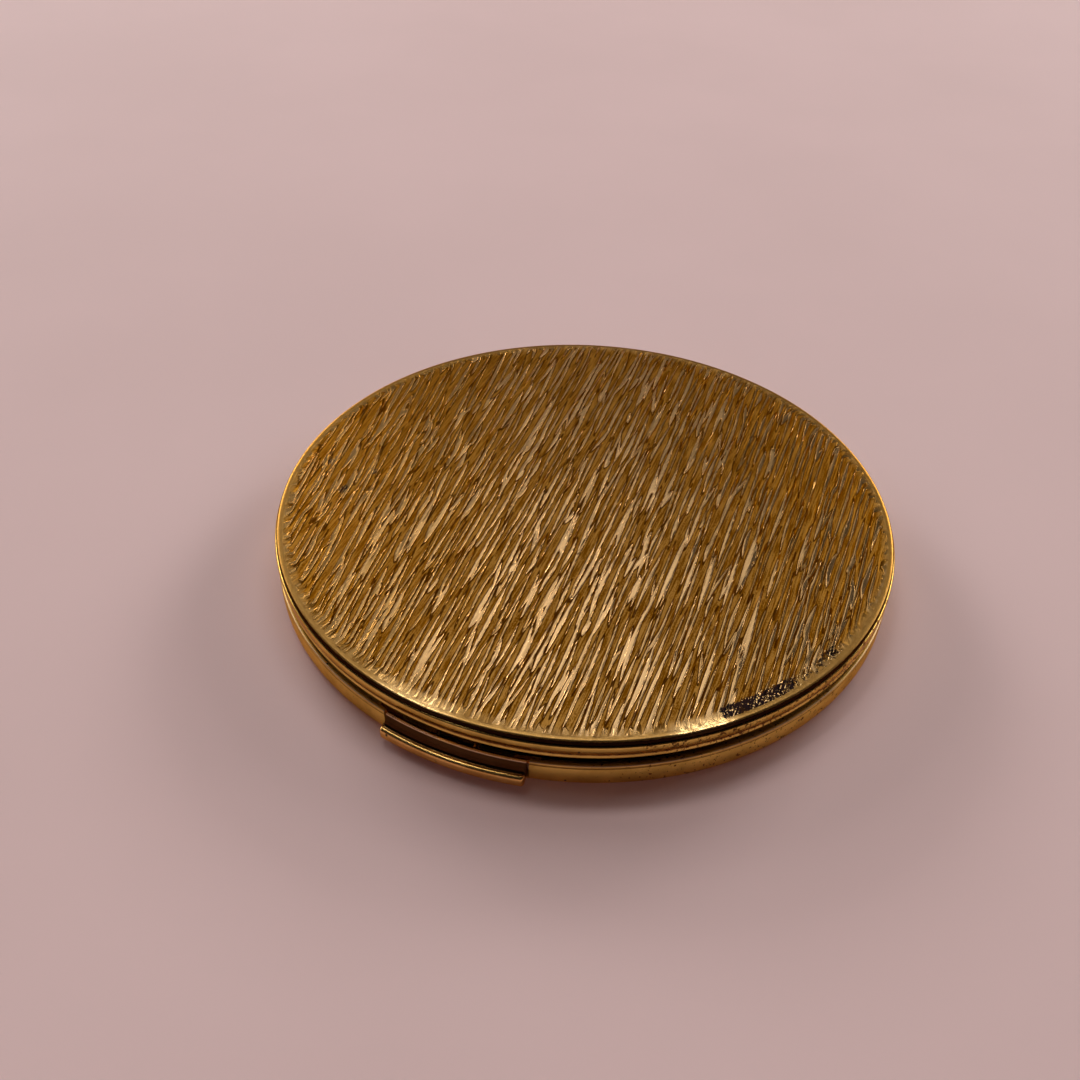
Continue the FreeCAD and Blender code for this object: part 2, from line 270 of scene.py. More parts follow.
@dataclass(frozen=True)
class BarkGold(Finish):
    """Gold plate over a bark-cut lid: pale lands, darker stippled cuts, painted shade as dark lines along
    their walls, and painted highlights where the plate is rubbed.
    """

    name = "bark_gold"
    land: Colour = (0.84, 0.515, 0.235)
    dull: Colour = (0.42, 0.23, 0.072)
    cut: Colour = (0.30, 0.146, 0.028)
    cut_deep: Colour = (0.125, 0.043, 0.001)
    # Painted shade: near black, laid along the walls of the cuts as dark lines.
    wall: Colour = (0.03, 0.007, 0.0)
    # Dirt and painted shade, near black, down the rolled edge and skirt under the top.
    grime_and_shade: Colour = (0.014, 0.004, 0.002)
    stain: Colour = (0.012, 0.007, 0.008)
    # Rubbed plate with a painted highlight; also the colour of the painted glints in the stain.
    bright: Colour = (1.0, 0.64, 0.27)
    olive: Colour = (0.24, 0.125, 0.028)
    edge_tint: Colour = (1.0, 0.6, 0.35)
    stipple: Grain = Grain(7200, (1.0, 0.6, 1.0), 1.5)
    stripes: Grain = Grain(6200, (1.0, 0.05, 1.0), 1.0)
    crumbs: Grain = Grain(1900, detail=4.0, roughness=0.7)
    cut_edge: Pair = (-0.02, 0.03)
    wall_shade_end: Pair = (0.07, 0.15)
    relief: Pair = (0.04, 0.7)
    roughness: float = 0.19

    def build(self, shader: Shader) -> bpy.types.Material:
        """Builds the material from the masks that the lid's mesh carries.

        Args:
            shader: The new material's tree.

        Returns:
            The finished material.
        """
        stipple, stripes, crumbs = (grain.on(shader) for grain in (self.stipple, self.stripes, self.crumbs))
        edge, handled = shader.mask("edge"), shader.mask("handled")
        depth = shader.mask("depth") + (stripes - 0.5) * 0.06
        inside = depth.eased(*self.cut_edge) * (1 - edge * 0.85)
        # Painted shade: a dark line along the walls of each cut.
        wall = inside - depth.eased(*self.wall_shade_end)
        stain = (shader.mask("stain") + crumbs * 0.9 + (stipple - 0.5) * 0.35).eased(0.92, 1.02)
        # Painted highlights: glints within the stain.
        glint = (stipple * 0.5 + stripes * 0.5).eased(0.58, 0.62) * stain
        # Dirt and painted shade down the rolled edge and skirt, which also dulls the edge's highlight.
        film = (shader.mask("film") + (crumbs - 0.5) * 0.9).eased(0.3, 0.55)
        # Rubbed plate, painted lighter as a highlight.
        bright = shader.mask("bright") * crumbs.eased(0.25, 0.6)
        scored = (stipple * 0.4 + stripes * 0.6).eased(0.43, 0.57) * (1 - handled * 0.3)
        low = shader.mix(scored, self.cut_deep, self.cut)
        uneven = (crumbs - 0.5) * 0.5 + (stipple - 0.5) * edge * 1.2
        # Lands darker towards the left and right sides.
        high = shader.mix(shader.mask("tone") + uneven - handled, self.dull, self.land)
        gold = shader.mix(wall.eased(0.0, 0.9) * 0.92, shader.mix(inside, high, low), self.wall)
        rubbed = edge * (1 - bright)
        gold = shader.mix(rubbed * (crumbs + 0.15), gold, self.olive)
        gold = shader.mix(bright, gold, self.bright)
        gold = shader.mix(film * 0.97, gold, self.grime_and_shade)
        rough = self.roughness + inside * 0.26 + (stipple - 0.5) * inside * 0.2 + film * 0.3 + rubbed * 0.14
        relief = shader.bump((stipple + stripes) * inside + crumbs * rubbed, *self.relief)
        stained = shader.mix(stain - glint, shader.mix(glint, gold, self.bright), self.stain)
        return shader.close(
            Base_Color=stained, Metallic=1.0, Roughness=rough, Normal=relief,
            Specular_Tint=(*self.edge_tint, 1))


@dataclass(frozen=True)
class CaseGold(Finish):
    """Smooth gold plate with turned lines, pits, brown specks, a dull film in its grooves and painted shade
    on the rim's shoulder.
    """

    name = "case_gold"
    plate: Colour = (0.80, 0.54, 0.135)
    film: Colour = (0.56, 0.35, 0.075)
    speck: Colour = (0.10, 0.028, 0.012)
    pit: Colour = (0.02, 0.012, 0.01)
    bare: Colour = (0.55, 0.41, 0.30)
    edge_tint: Colour = (1.0, 0.7, 0.45)
    lines: Grain = Grain(1.0, (0.05, 9.0, 1.0), 3.0, follows=Place.RIM)
    cloud: Grain = Grain(260, detail=3.0, roughness=0.6)
    crumbs: Grain = Grain(2100, detail=3.0, roughness=0.65)
    pit_scale: float = 420
    pit_edge: Pair = (0.045, 0.075)
    relief: Pair = (0.02, 0.5)
    roughness: float = 0.17

    def build(self, shader: Shader) -> bpy.types.Material:
        """Builds the material from the length along the rim and the mesh's own masks of wear and painted
        shade.

        Args:
            shader: The new material's tree.

        Returns:
            The finished material.
        """
        lines, cloud, crumbs = (grain.on(shader) for grain in (self.lines, self.cloud, self.crumbs))
        speck = (crumbs + shader.mask("worn") * 0.16).eased(0.69, 0.74)
        pit = 1 - shader.cells(self.pit_scale).eased(*self.pit_edge)
        gold = shader.mix(cloud.eased(0.38, 0.68) * 0.75, self.plate, self.film)
        # Tarnish in grooves, and painted shade on the rim's shoulder and in the catch's hollow.
        film = (shader.mask("film") + (crumbs - 0.5) * 0.6).eased(0.15, 0.6)
        gold = shader.mix(film * 0.96, gold, self.speck)
        gold = shader.mix(speck * 0.85, gold, self.speck)
        gold = shader.mix(shader.mask("edge") * cloud.eased(0.3, 0.5), gold, self.bare)
        rough = self.roughness + (lines - 0.5) * 0.10 + cloud * 0.07 + speck * 0.25
        return shader.close(
            Base_Color=shader.mix(pit, gold, self.pit), Metallic=1 - pit * 0.7, Roughness=rough,
            Normal=shader.bump(lines * 0.1 - pit, *self.relief), Specular_Tint=(*self.edge_tint, 1))


@dataclass(frozen=True)
class SatinGold(CaseGold):
    """The same plate, rubbed to a satin by handling."""

    name = "satin_gold"
    roughness: float = 0.38


@dataclass(frozen=True)
class CatchGold(CaseGold):
    """The same plate, with painted shade darkening the hollow of the thumb catch."""

    name = "catch_gold"
    plate: Colour = (0.90, 0.55, 0.18)
    film: Colour = (0.62, 0.34, 0.085)
    # Near black: the painted shade in the catch's hollow, and its specks.
    speck: Colour = (0.030, 0.008, 0.003)


@dataclass(frozen=True)
class InnerGold(Finish):
    """Brighter plate inside the case, hardly worn."""

    name = "inner_gold"
    plate: Colour = (0.93, 0.65, 0.27)
    film: Colour = (0.74, 0.47, 0.16)
    # Dirt and painted shade, for the well ring's outer wall in the gap under the lid.
    grime_and_shade: Colour = (0.012, 0.006, 0.004)
    cloud: Grain = Grain(180, detail=3.0)
    marks: Grain = Grain(2400, (1.0, 0.08, 1.0))
    relief: Pair = (0.01, 0.4)
    roughness: float = 0.16

    def build(self, shader: Shader) -> bpy.types.Material:
        """Builds a clean plate with faint handling marks, darkened with dirt and painted shade where the
        mesh's film mask lies.

        Args:
            shader: The new material's tree.

        Returns:
            The finished material.
        """
        cloud, marks = self.cloud.on(shader), self.marks.on(shader)
        # Dirt and painted shade where the mesh carries it.
        dirt_and_shade = shader.mask("film")
        gold = shader.mix(cloud.eased(0.45, 0.75), self.plate, self.film)
        rough = self.roughness + cloud * 0.10 + (marks - 0.5) * 0.08 + dirt_and_shade * 0.4
        return shader.close(
            Base_Color=shader.mix(dirt_and_shade, gold, self.grime_and_shade), Metallic=1 - dirt_and_shade * 0.7, Roughness=rough,
            Normal=shader.bump(marks, *self.relief))


@dataclass(frozen=True)
class LookingGlass(Finish):
    """Silvered glass with a little foxing near its rim."""

    name = "silvered_glass"
    silver: Colour = (0.90, 0.92, 0.91)
    foxed: Colour = (0.42, 0.40, 0.34)
    spots: Grain = Grain(620, detail=4.0, roughness=0.7)
    haze: Grain = Grain(90, detail=3.0)
    roughness: float = 0.015

    def build(self, shader: Shader) -> bpy.types.Material:
        """Builds the mirror and the spots of its aged silvering.

        Args:
            shader: The new material's tree.

        Returns:
            The finished material.
        """
        spots, haze = self.spots.on(shader), self.haze.on(shader)
        foxing = (spots + shader.mask("aged") * 0.24).eased(0.74, 0.84)
        return shader.close(
            Base_Color=shader.mix(foxing, self.silver, self.foxed), Metallic=1 - foxing * 0.4,
            Roughness=self.roughness + haze * 0.02 + foxing * 0.35)


@dataclass(frozen=True)
class Grained(Finish):
    """A finish of two colours, mixed and raised by one or two layers of grain."""

    first: Colour = (0.0, 0.0, 0.0)
    second: Colour = (1.0, 1.0, 1.0)
    grains: tuple[Grain, ...] = ()
    shares: tuple[float, ...] = (1.0,)
    heights: tuple[float, ...] = (1.0,)
    ease: Pair = (0.36, 0.64)
    rough: Pair = (0.5, 0.1)
    relief: Pair = (0.01, 0.4)
    metallic: float = 0.0
    sheen: float = 0.0
    sheen_roughness: float = 0.5
    sheen_tint: Colour = (1.0, 1.0, 1.0)

    def build(self, shader: Shader) -> bpy.types.Material:
        """Builds the material from its layers, of which the first also roughens it.

        Args:
            shader: The new material's tree.

        Returns:
            The finished material.
        """
        layers = [grain.on(shader) for grain in self.grains]
        blend = sum(layer * share for layer, share in zip(layers, self.shares))
        height = sum(layer * share for layer, share in zip(layers, self.heights))
        return shader.close(
            Base_Color=shader.mix(blend.eased(*self.ease), self.first, self.second), Metallic=self.metallic,
            Roughness=self.rough[0] + layers[0] * self.rough[1], Normal=shader.bump(height, *self.relief),
            Sheen_Weight=self.sheen, Sheen_Roughness=self.sheen_roughness, Sheen_Tint=(*self.sheen_tint, 1))


@dataclass(frozen=True)
class Steel(Grained):
    """Drawn steel of the pin and the spring."""

    name = "drawn_steel"
    first: Colour = (0.60, 0.58, 0.55)
    second: Colour = (0.38, 0.35, 0.31)
    grains: tuple[Grain, ...] = (Grain(4200, (0.06, 1.0, 1.0), 3.0),)
    ease: Pair = (0.35, 0.7)
    rough: Pair = (0.28, 0.2)
    metallic: float = 1.0


@dataclass(frozen=True)
class Card(Grained):
    """Grey-brown board behind the glass."""

    name = "grey_board"
    first: Colour = (0.50, 0.44, 0.36)
    second: Colour = (0.33, 0.28, 0.22)
    grains: tuple[Grain, ...] = (Grain(3000, (1.0, 0.25, 1.0), 4.0, 0.7),)
    ease: Pair = (0.35, 0.7)
    rough: Pair = (0.75, 0.2)
    relief: Pair = (0.03, 0.5)


@dataclass(frozen=True)
class Tin(Grained):
    """Pressed aluminium of the powder's tin."""

    name = "pressed_tin"
    first: Colour = (0.76, 0.76, 0.75)
    second: Colour = (0.55, 0.54, 0.53)
    grains: tuple[Grain, ...] = (Grain(500, detail=4.0, roughness=0.6),)
    ease: Pair = (0.4, 0.7)
    rough: Pair = (0.28, 0.16)
    relief: Pair = (0.02, 0.3)
    metallic: float = 1.0


@dataclass(frozen=True)
class Powder(Grained):
    """Pressed face powder: fine grains over softer patches."""

    name = "pressed_powder"
    first: Colour = (0.74, 0.49, 0.35)
    second: Colour = (0.84, 0.62, 0.47)
    grains: tuple[Grain, ...] = (Grain(9000), Grain(240, detail=3.0))
    shares: tuple[float, ...] = (0.4, 0.6)
    rough: Pair = (0.85, 0.12)
    relief: Pair = (0.04, 0.5)


@dataclass(frozen=True)
class Velour(Grained):
    """Short dense pile of the puff, with brushed patches over it."""

    name = "velour_pile"
    first: Colour = (0.58, 0.38, 0.30)
    second: Colour = (0.80, 0.60, 0.50)
    grains: tuple[Grain, ...] = (Grain(3800, detail=3.0, roughness=0.65), Grain(150, detail=3.0))
    shares: tuple[float, ...] = (0.65, 0.35)
    ease: Pair = (0.34, 0.62)
    rough: Pair = (0.9, 0.08)
    relief: Pair = (0.16, 0.8)
    sheen: float = 0.25
    sheen_roughness: float = 0.4
    sheen_tint: Colour = (0.80, 0.60, 0.50)


@dataclass(frozen=True)
class Satin(Grained):
    """Woven satin of the finger band: lengthwise floats and fine ribs across them."""

    name = "woven_satin"
    first: Colour = (0.62, 0.37, 0.28)
    second: Colour = (0.82, 0.54, 0.42)
    grains: tuple[Grain, ...] = (Grain(5200, (0.05, 1.0, 1.0)), Grain(3600, (1.0, 0.04, 1.0), 1.0))
    shares: tuple[float, ...] = (0.6, 0.4)
    heights: tuple[float, ...] = (1.0, 0.6)
    rough: Pair = (0.34, 0.14)
    relief: Pair = (0.03, 0.5)
    sheen: float = 0.1


@dataclass(frozen=True)
class Ground(Finish):
    """Plain pale floor."""

    name = "pale_floor"
    tone: Colour = (0.79, 0.572, 0.548)
    shade: Colour = (0.76, 0.55, 0.525)
    cloud: Grain = Grain(14, detail=3.0)
    roughness: float = 0.9

    def build(self, shader: Shader) -> bpy.types.Material:
        """Builds a soft matt ground with hardly any mottling."""
        share = self.cloud.on(shader).eased(0.3, 0.7)
        return shader.close(Base_Color=shader.mix(share, self.tone, self.shade), Roughness=self.roughness)


@dataclass
class Shape:
    """A mesh in the making: points in millimetres, faces, texture places and masks at the points."""

    points: np.ndarray
    faces: list[list[int]]
    texture: np.ndarray
    masks: dict[str, np.ndarray] = field(default_factory=dict)


@dataclass(frozen=True)
class Notch:
    """A square-sided gap across a turned wall, in which only heights from low to high are left."""

    middle: float
    half_width: float
    low: float
    high: float

    def sides(self, radii: np.ndarray) -> np.ndarray:
        """Half the angle of the gap at each radius."""
        return np.arcsin(np.clip(self.half_width / np.maximum(radii, self.half_width), 0, 1))

    def left(self, outline: np.ndarray) -> np.ndarray:
        """Cuts the gap out of an outline.

        Args:
            outline: Radius and height of each point of the outline.

        Returns:
            What the gap leaves, with the rest drawn in to its edge.
        """
        radii, heights = outline.T
        level = np.clip(heights, self.low, self.high)
        kept = radii[level == heights]
        return np.stack([np.clip(radii, kept.min(), kept.max()), level], 1)


def rounded(corners: Sequence[Corner], steps: int = 6) -> np.ndarray:
    """Draws a closed outline.

    Args:
        corners: Radius, height and rounding of each corner, in millimetres.
        steps: Straight pieces in each rounding.

    Returns:
        The outline's points, one row each.
    """
    outline = []
    for index, (radius, height, rounding) in enumerate(corners):
        here = np.array([radius, height])
        before = np.array(corners[index - 1][:2]) - here
        after = np.array(corners[(index + 1) % len(corners)][:2]) - here
        before, after = before / np.linalg.norm(before), after / np.linalg.norm(after)
        if not rounding:
            outline.append(here)
            continue
        half = math.acos(np.clip(before @ after, -1, 1)) / 2
        inward = (before + after) / np.linalg.norm(before + after)
        centre = here + inward * rounding / math.sin(half)
        start = here + before * rounding / math.tan(half) - centre
        end = here + after * rounding / math.tan(half) - centre
        sweep = math.pi - 2 * half
        for share in np.linspace(0, 1, steps + 1):
            weights = math.sin((1 - share) * sweep), math.sin(share * sweep)
            outline.append(centre + (weights[0] * start + weights[1] * end) / math.sin(sweep))
    return np.array(outline)


def arc_through(first: Pair, middle: Pair, last: Pair, steps: int) -> np.ndarray:
    """Draws the parabola-like arc through three points.

    Args:
        first: Radius and height of its start.
        middle: A point halfway along it.
        last: Its end.
        steps: How many points it has.

    Returns:
        The arc's points, without its last one.
    """
    share = np.linspace(0, 1, steps, endpoint=False)[:, None]
    bend = 2 * np.array(middle) - (np.array(first) + np.array(last)) / 2
    return (1 - share) ** 2 * np.array(first) + 2 * share * (1 - share) * bend + share ** 2 * np.array(last)


def sheets(stations: list[np.ndarray], texture: np.ndarray, loop: bool) -> Shape:
    """Joins equal rows of points into one skin.

    Args:
        stations: Rows of points, in order.
        texture: Texture place of each point.
        loop: True where each row closes on itself.

    Returns:
        The joined shape.
    """
    width = len(stations[0])
    faces = []
    for row in range(len(stations) - 1):
        for index in range(width if loop else width - 1):
            after = (index + 1) % width
            faces.append([row * width + index, row * width + after,
                          (row + 1) * width + after, (row + 1) * width + index])
    return Shape(np.concatenate(stations), faces, texture)


def turned(outline: np.ndarray, count: int = 400, notches: Sequence[Notch] = ()) -> Shape:
    """Turns a closed outline about Z.

    Args:
        outline: Radius and height of each point of the outline.
        count: Steps round the circle.
        notches: Gaps in the wall.

    Returns:
        A closed skin, once its doubled points are merged.
    """
    widest = outline[:, :1].max(0)
    whole = 2 * math.pi
    marks: list[tuple[float, np.ndarray, np.ndarray]] = []
    for angle in np.linspace(0, whole, count + 1):
        section = outline
        near_side = False
        for notch in notches:
            off = abs((angle - notch.middle + math.pi) % whole - math.pi)
            side = float(notch.sides(widest)[0])
            near_side |= abs(off - side) < math.pi / count
            section = notch.left(outline) if off < side else section
        if not near_side:
            marks.append((angle, np.full(len(outline), angle), section))
    for notch in notches:
        cut = notch.left(outline)
        middle = notch.middle % whole
        for sign, sections in ((-1, (outline, cut)), (1, (cut, outline))):
            for order, section in enumerate(sections):
                rank = middle + sign * float(notch.sides(widest)[0]) + (order - 0.5) * SPLIT
                marks.append((rank, middle + sign * notch.sides(section[:, 0]), section))
    marks.sort(key=lambda mark: mark[0])
    run = np.concatenate([[0], np.cumsum(np.linalg.norm(np.diff(outline, axis=0), axis=1))])
    stations = [swung(section[:, 0], section[:, 1], turn) for _, turn, section in marks]
    texture = np.concatenate([np.stack([turn * widest, run], 1) for _, turn, _ in marks])
    return sheets(stations, texture, loop=True)


def capped(stations: list[np.ndarray]) -> Shape:
    """Joins closed rows of points into one skin and closes both of its ends.

    Args:
        stations: Rows of points, in order.

    Returns:
        The closed shape.
    """
    width = len(stations[0])
    run = np.arange(len(stations) * width, dtype=float)
    shape = sheets(stations, np.stack([run % width, run // width], 1), loop=True)
    last = (len(stations) - 1) * width
    shape.faces += [list(range(width)), [last + index for index in range(width)]]
    return shape


def oblong(low: Pair, high: Pair, rounding: float, steps: int) -> np.ndarray:
    """The outline of a rectangle with rounded corners, from two of its corners."""
    corners = [(*low, rounding), (high[0], low[1], rounding), (*high, rounding), (low[0], high[1], rounding)]
    return rounded(corners, steps)


def eased_block(low: Corner, high: Corner, rounding: float) -> Shape:
    """Builds a box with rounded edges along X and broken ends.

    Args:
        low: Its lowest corner.
        high: Its highest corner.
        rounding: Radius of its edges.

    Returns:
        The closed box.
    """
    outline = oblong(low[1:], high[1:], rounding, 4)
    middle = outline.mean(0)
    spread = np.linalg.norm(outline - middle, axis=1, keepdims=True)
    ends = (low[0], rounding), (low[0] + rounding, 0), (high[0] - rounding, 0), (high[0], rounding)
    rows = []
    for x, shrink in ends:
        ring = middle + (outline - middle) * (1 - shrink / spread)
        rows.append(np.column_stack([np.full(len(ring), x), ring]))
    return capped(rows)


@dataclass(frozen=True)
class Piece:
    """How a shape becomes an object of the part."""

    name: str
    body: Body
    finish: Finish
    slot: str
    nodes: tuple[str, ...]
    sharp: float = 38.0

    def make(self, *shapes: Shape) -> bpy.types.Object:
        """Builds the object from one or more shapes, dresses it and sets it on its body.

        Args:
            shapes: The skins that the piece is made of.

        Returns:
            The new object.
        """
        built = bmesh.new()
        uv = built.loops.layers.uv.new("rim")
        names = sorted({name for shape in shapes for name in shape.masks})
        layers = {name: built.verts.layers.float.new(name) for name in names}
        for shape in shapes:
            verts = [built.verts.new(point) for point in shape.points * MM]
            for name, values in shape.masks.items():
                for vert, value in zip(verts, values):
                    vert[layers[name]] = float(value)
            for face in shape.faces:
                loops = built.faces.new([verts[index] for index in face]).loops
                for loop, index in zip(loops, face):
                    loop[uv].uv = shape.texture[index]
        bmesh.ops.remove_doubles(built, verts=built.verts, dist=MERGE)
        bmesh.ops.dissolve_degenerate(built, edges=built.edges, dist=MERGE)
        bmesh.ops.recalc_face_normals(built, faces=built.faces)
        mesh = bpy.data.meshes.new(self.name)
        built.to_mesh(mesh)
        built.free()
        mesh.shade_smooth()
        mesh.set_sharp_from_angle(angle=math.radians(self.sharp))
        mesh.materials.append(self.finish.material())
        made = bpy.data.objects.new(self.name, mesh)
        bpy.context.scene.collection.objects.link(made)
        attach(made, self.body.value)
        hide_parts(*self.nodes)
        LOG.info("%s: %d faces, on %s", self.name, len(mesh.polygons), self.body.value)
        return made


@dataclass
class BarkField:
    """Pointed lands in rows along the grain, joined where they overlap, with cuts between them."""

    radius: float
    seed: int = 61
    pitch: float = 0.80
    row_reach: float = 1.25
    length: Pair = (4.5, 18.0)
    length_odds: Pair = (1.4, 2.4)
    gap: Pair = (-4.5, 0.8)
    width: Pair = (0.15, 0.58)
    width_odds: Pair = (1.5, 2.3)
    wander: float = 0.26
    tilt: float = 0.020
    bow: float = 0.12
    sharpness: Pair = (1.1, 2.0)
    fork: tuple[float, float, float] = (0.3, 0.45, 0.12)
    tip_close: Pair = (0.02, 1.0)
    facet: float = 0.045
    facet_along: float = 0.2
    tone: tuple[float, float, float] = (0.25, 1.3, 0.18)
    tone_reach: float = 0.05
    near: Pair = (0.3, 1.2)
    margin: Pair = (0.08, 0.4)
    margin_tone: float = 0.1
    margin_slope: float = 1.8
    margin_waves: tuple[int, ...] = (41, 67, 103, 151, 211)
    slopes: tuple[tuple[float, ...], tuple[float, ...]] = (
        (-1.0, -0.65, -0.3, 0.3, 1.0), (-0.19, -0.17, -0.07, -0.05, 0.0))

    def cut(self, x: np.ndarray, y: np.ndarray) -> dict[str, np.ndarray]:
        """Cuts the field.

        Args:
            x: Places across the grain, in millimetres.
            y: Places along it.

        Returns:
            At each place: depth, the millimetres from the nearest land, negative on the lands; tone, how
            bright the land is; and lift, how high the land's own slant raises it.
        """
        chance = np.random.default_rng(self.seed)
        field_of = {"depth": -self.plain_margin(x, y, chance), "tone": np.full_like(x, self.margin_tone),
                    "lift": np.zeros_like(x)}
        reach = self.row_reach * self.radius
        for start in np.arange(-reach, reach, self.pitch):
            slope = float(np.interp(start / self.radius, *self.slopes))
            cursor = -self.radius - chance.uniform(0, self.length[1])
            while cursor < self.radius:
                length = self.length[0] + (self.length[1] - self.length[0]) * chance.beta(*self.length_odds)
                middle = cursor + length / 2
                lean = slope + chance.normal(0, self.tilt)
                across = start + slope * middle + chance.uniform(-self.wander, self.wander)
                self.add_land(field_of, (x, y), (across, middle, lean, length / 2), chance)
                if chance.random() < self.fork[0]:
                    half = self.fork[1] * length / 2
                    spread = lean + self.fork[2] * chance.choice([-1, 1])
                    root = across - lean * length / 2 + spread * half
                    self.add_land(field_of, (x, y), (root, cursor + half, spread, half), chance)
                cursor += length + chance.uniform(*self.gap)
        return field_of

    def plain_margin(self, x: np.ndarray, y: np.ndarray, chance: np.random.Generator) -> np.ndarray:
        """The uncut ring round the field, with a ragged inner edge.

        Args:
            x: Places across the grain.
            y: Places along it.
            chance: The field's random numbers.

        Returns:
            Millimetres inside the ring, and negative within the field.
        """
        turn = np.arctan2(y, x)
        ragged = np.zeros_like(turn)
        for wave in self.margin_waves:
            ragged += np.sin(wave * turn + chance.uniform(0, 2 * math.pi))
        reach = self.margin[0] + self.margin[1] * np.abs(ragged) / 2
        return np.clip((np.hypot(x, y) - self.radius + reach) * self.margin_slope, -1, 1)

    def add_land(self, field_of: dict[str, np.ndarray], at: tuple[np.ndarray, np.ndarray],
                 shape: tuple[float, ...], chance: np.random.Generator) -> None:
        """Adds one pointed land.

        Args:
            field_of: The field so far, which is changed.
            at: Places of all points.
            shape: Place across and along, lean and half-length of the land.
            chance: The field's random numbers.
        """
        across, middle, lean, half = shape
        share = chance.beta(*self.width_odds)
        width = self.width[0] + (self.width[1] - self.width[0]) * share
        bow = chance.normal(0, self.bow)
        sharpness = chance.uniform(*self.sharpness)
        slant = chance.normal(0, self.facet, 2)
        tone = self.tone[0] + self.tone[1] * share + chance.normal(0, self.tone[2])
        beside = np.abs(at[0] - across) < half * self.near[0] + width
        near = np.nonzero((np.abs(at[1] - middle) < half * self.near[1]) & beside)[0]
        run = at[1][near] - middle
        off = at[0][near] - across - lean * run - bow * (1 - (run / half) ** 2)
        share_out = np.abs(run / half)
        depth = np.abs(off) - width / 2 * (1 - np.minimum(share_out, 1) ** sharpness)
        depth += self.tip_close[0] * share_out ** 4 + self.tip_close[1] * np.maximum(np.abs(run) - half, 0)
        won = depth < field_of["depth"][near]
        near, depth = near[won], depth[won]
        field_of["depth"][near] = depth
        held = depth < self.tone_reach
        field_of["tone"][near[held]] = np.clip(tone, self.margin_tone, 1)
        field_of["lift"][near[held]] = (slant[0] * off[won] + self.facet_along * slant[1] * run[won])[held]


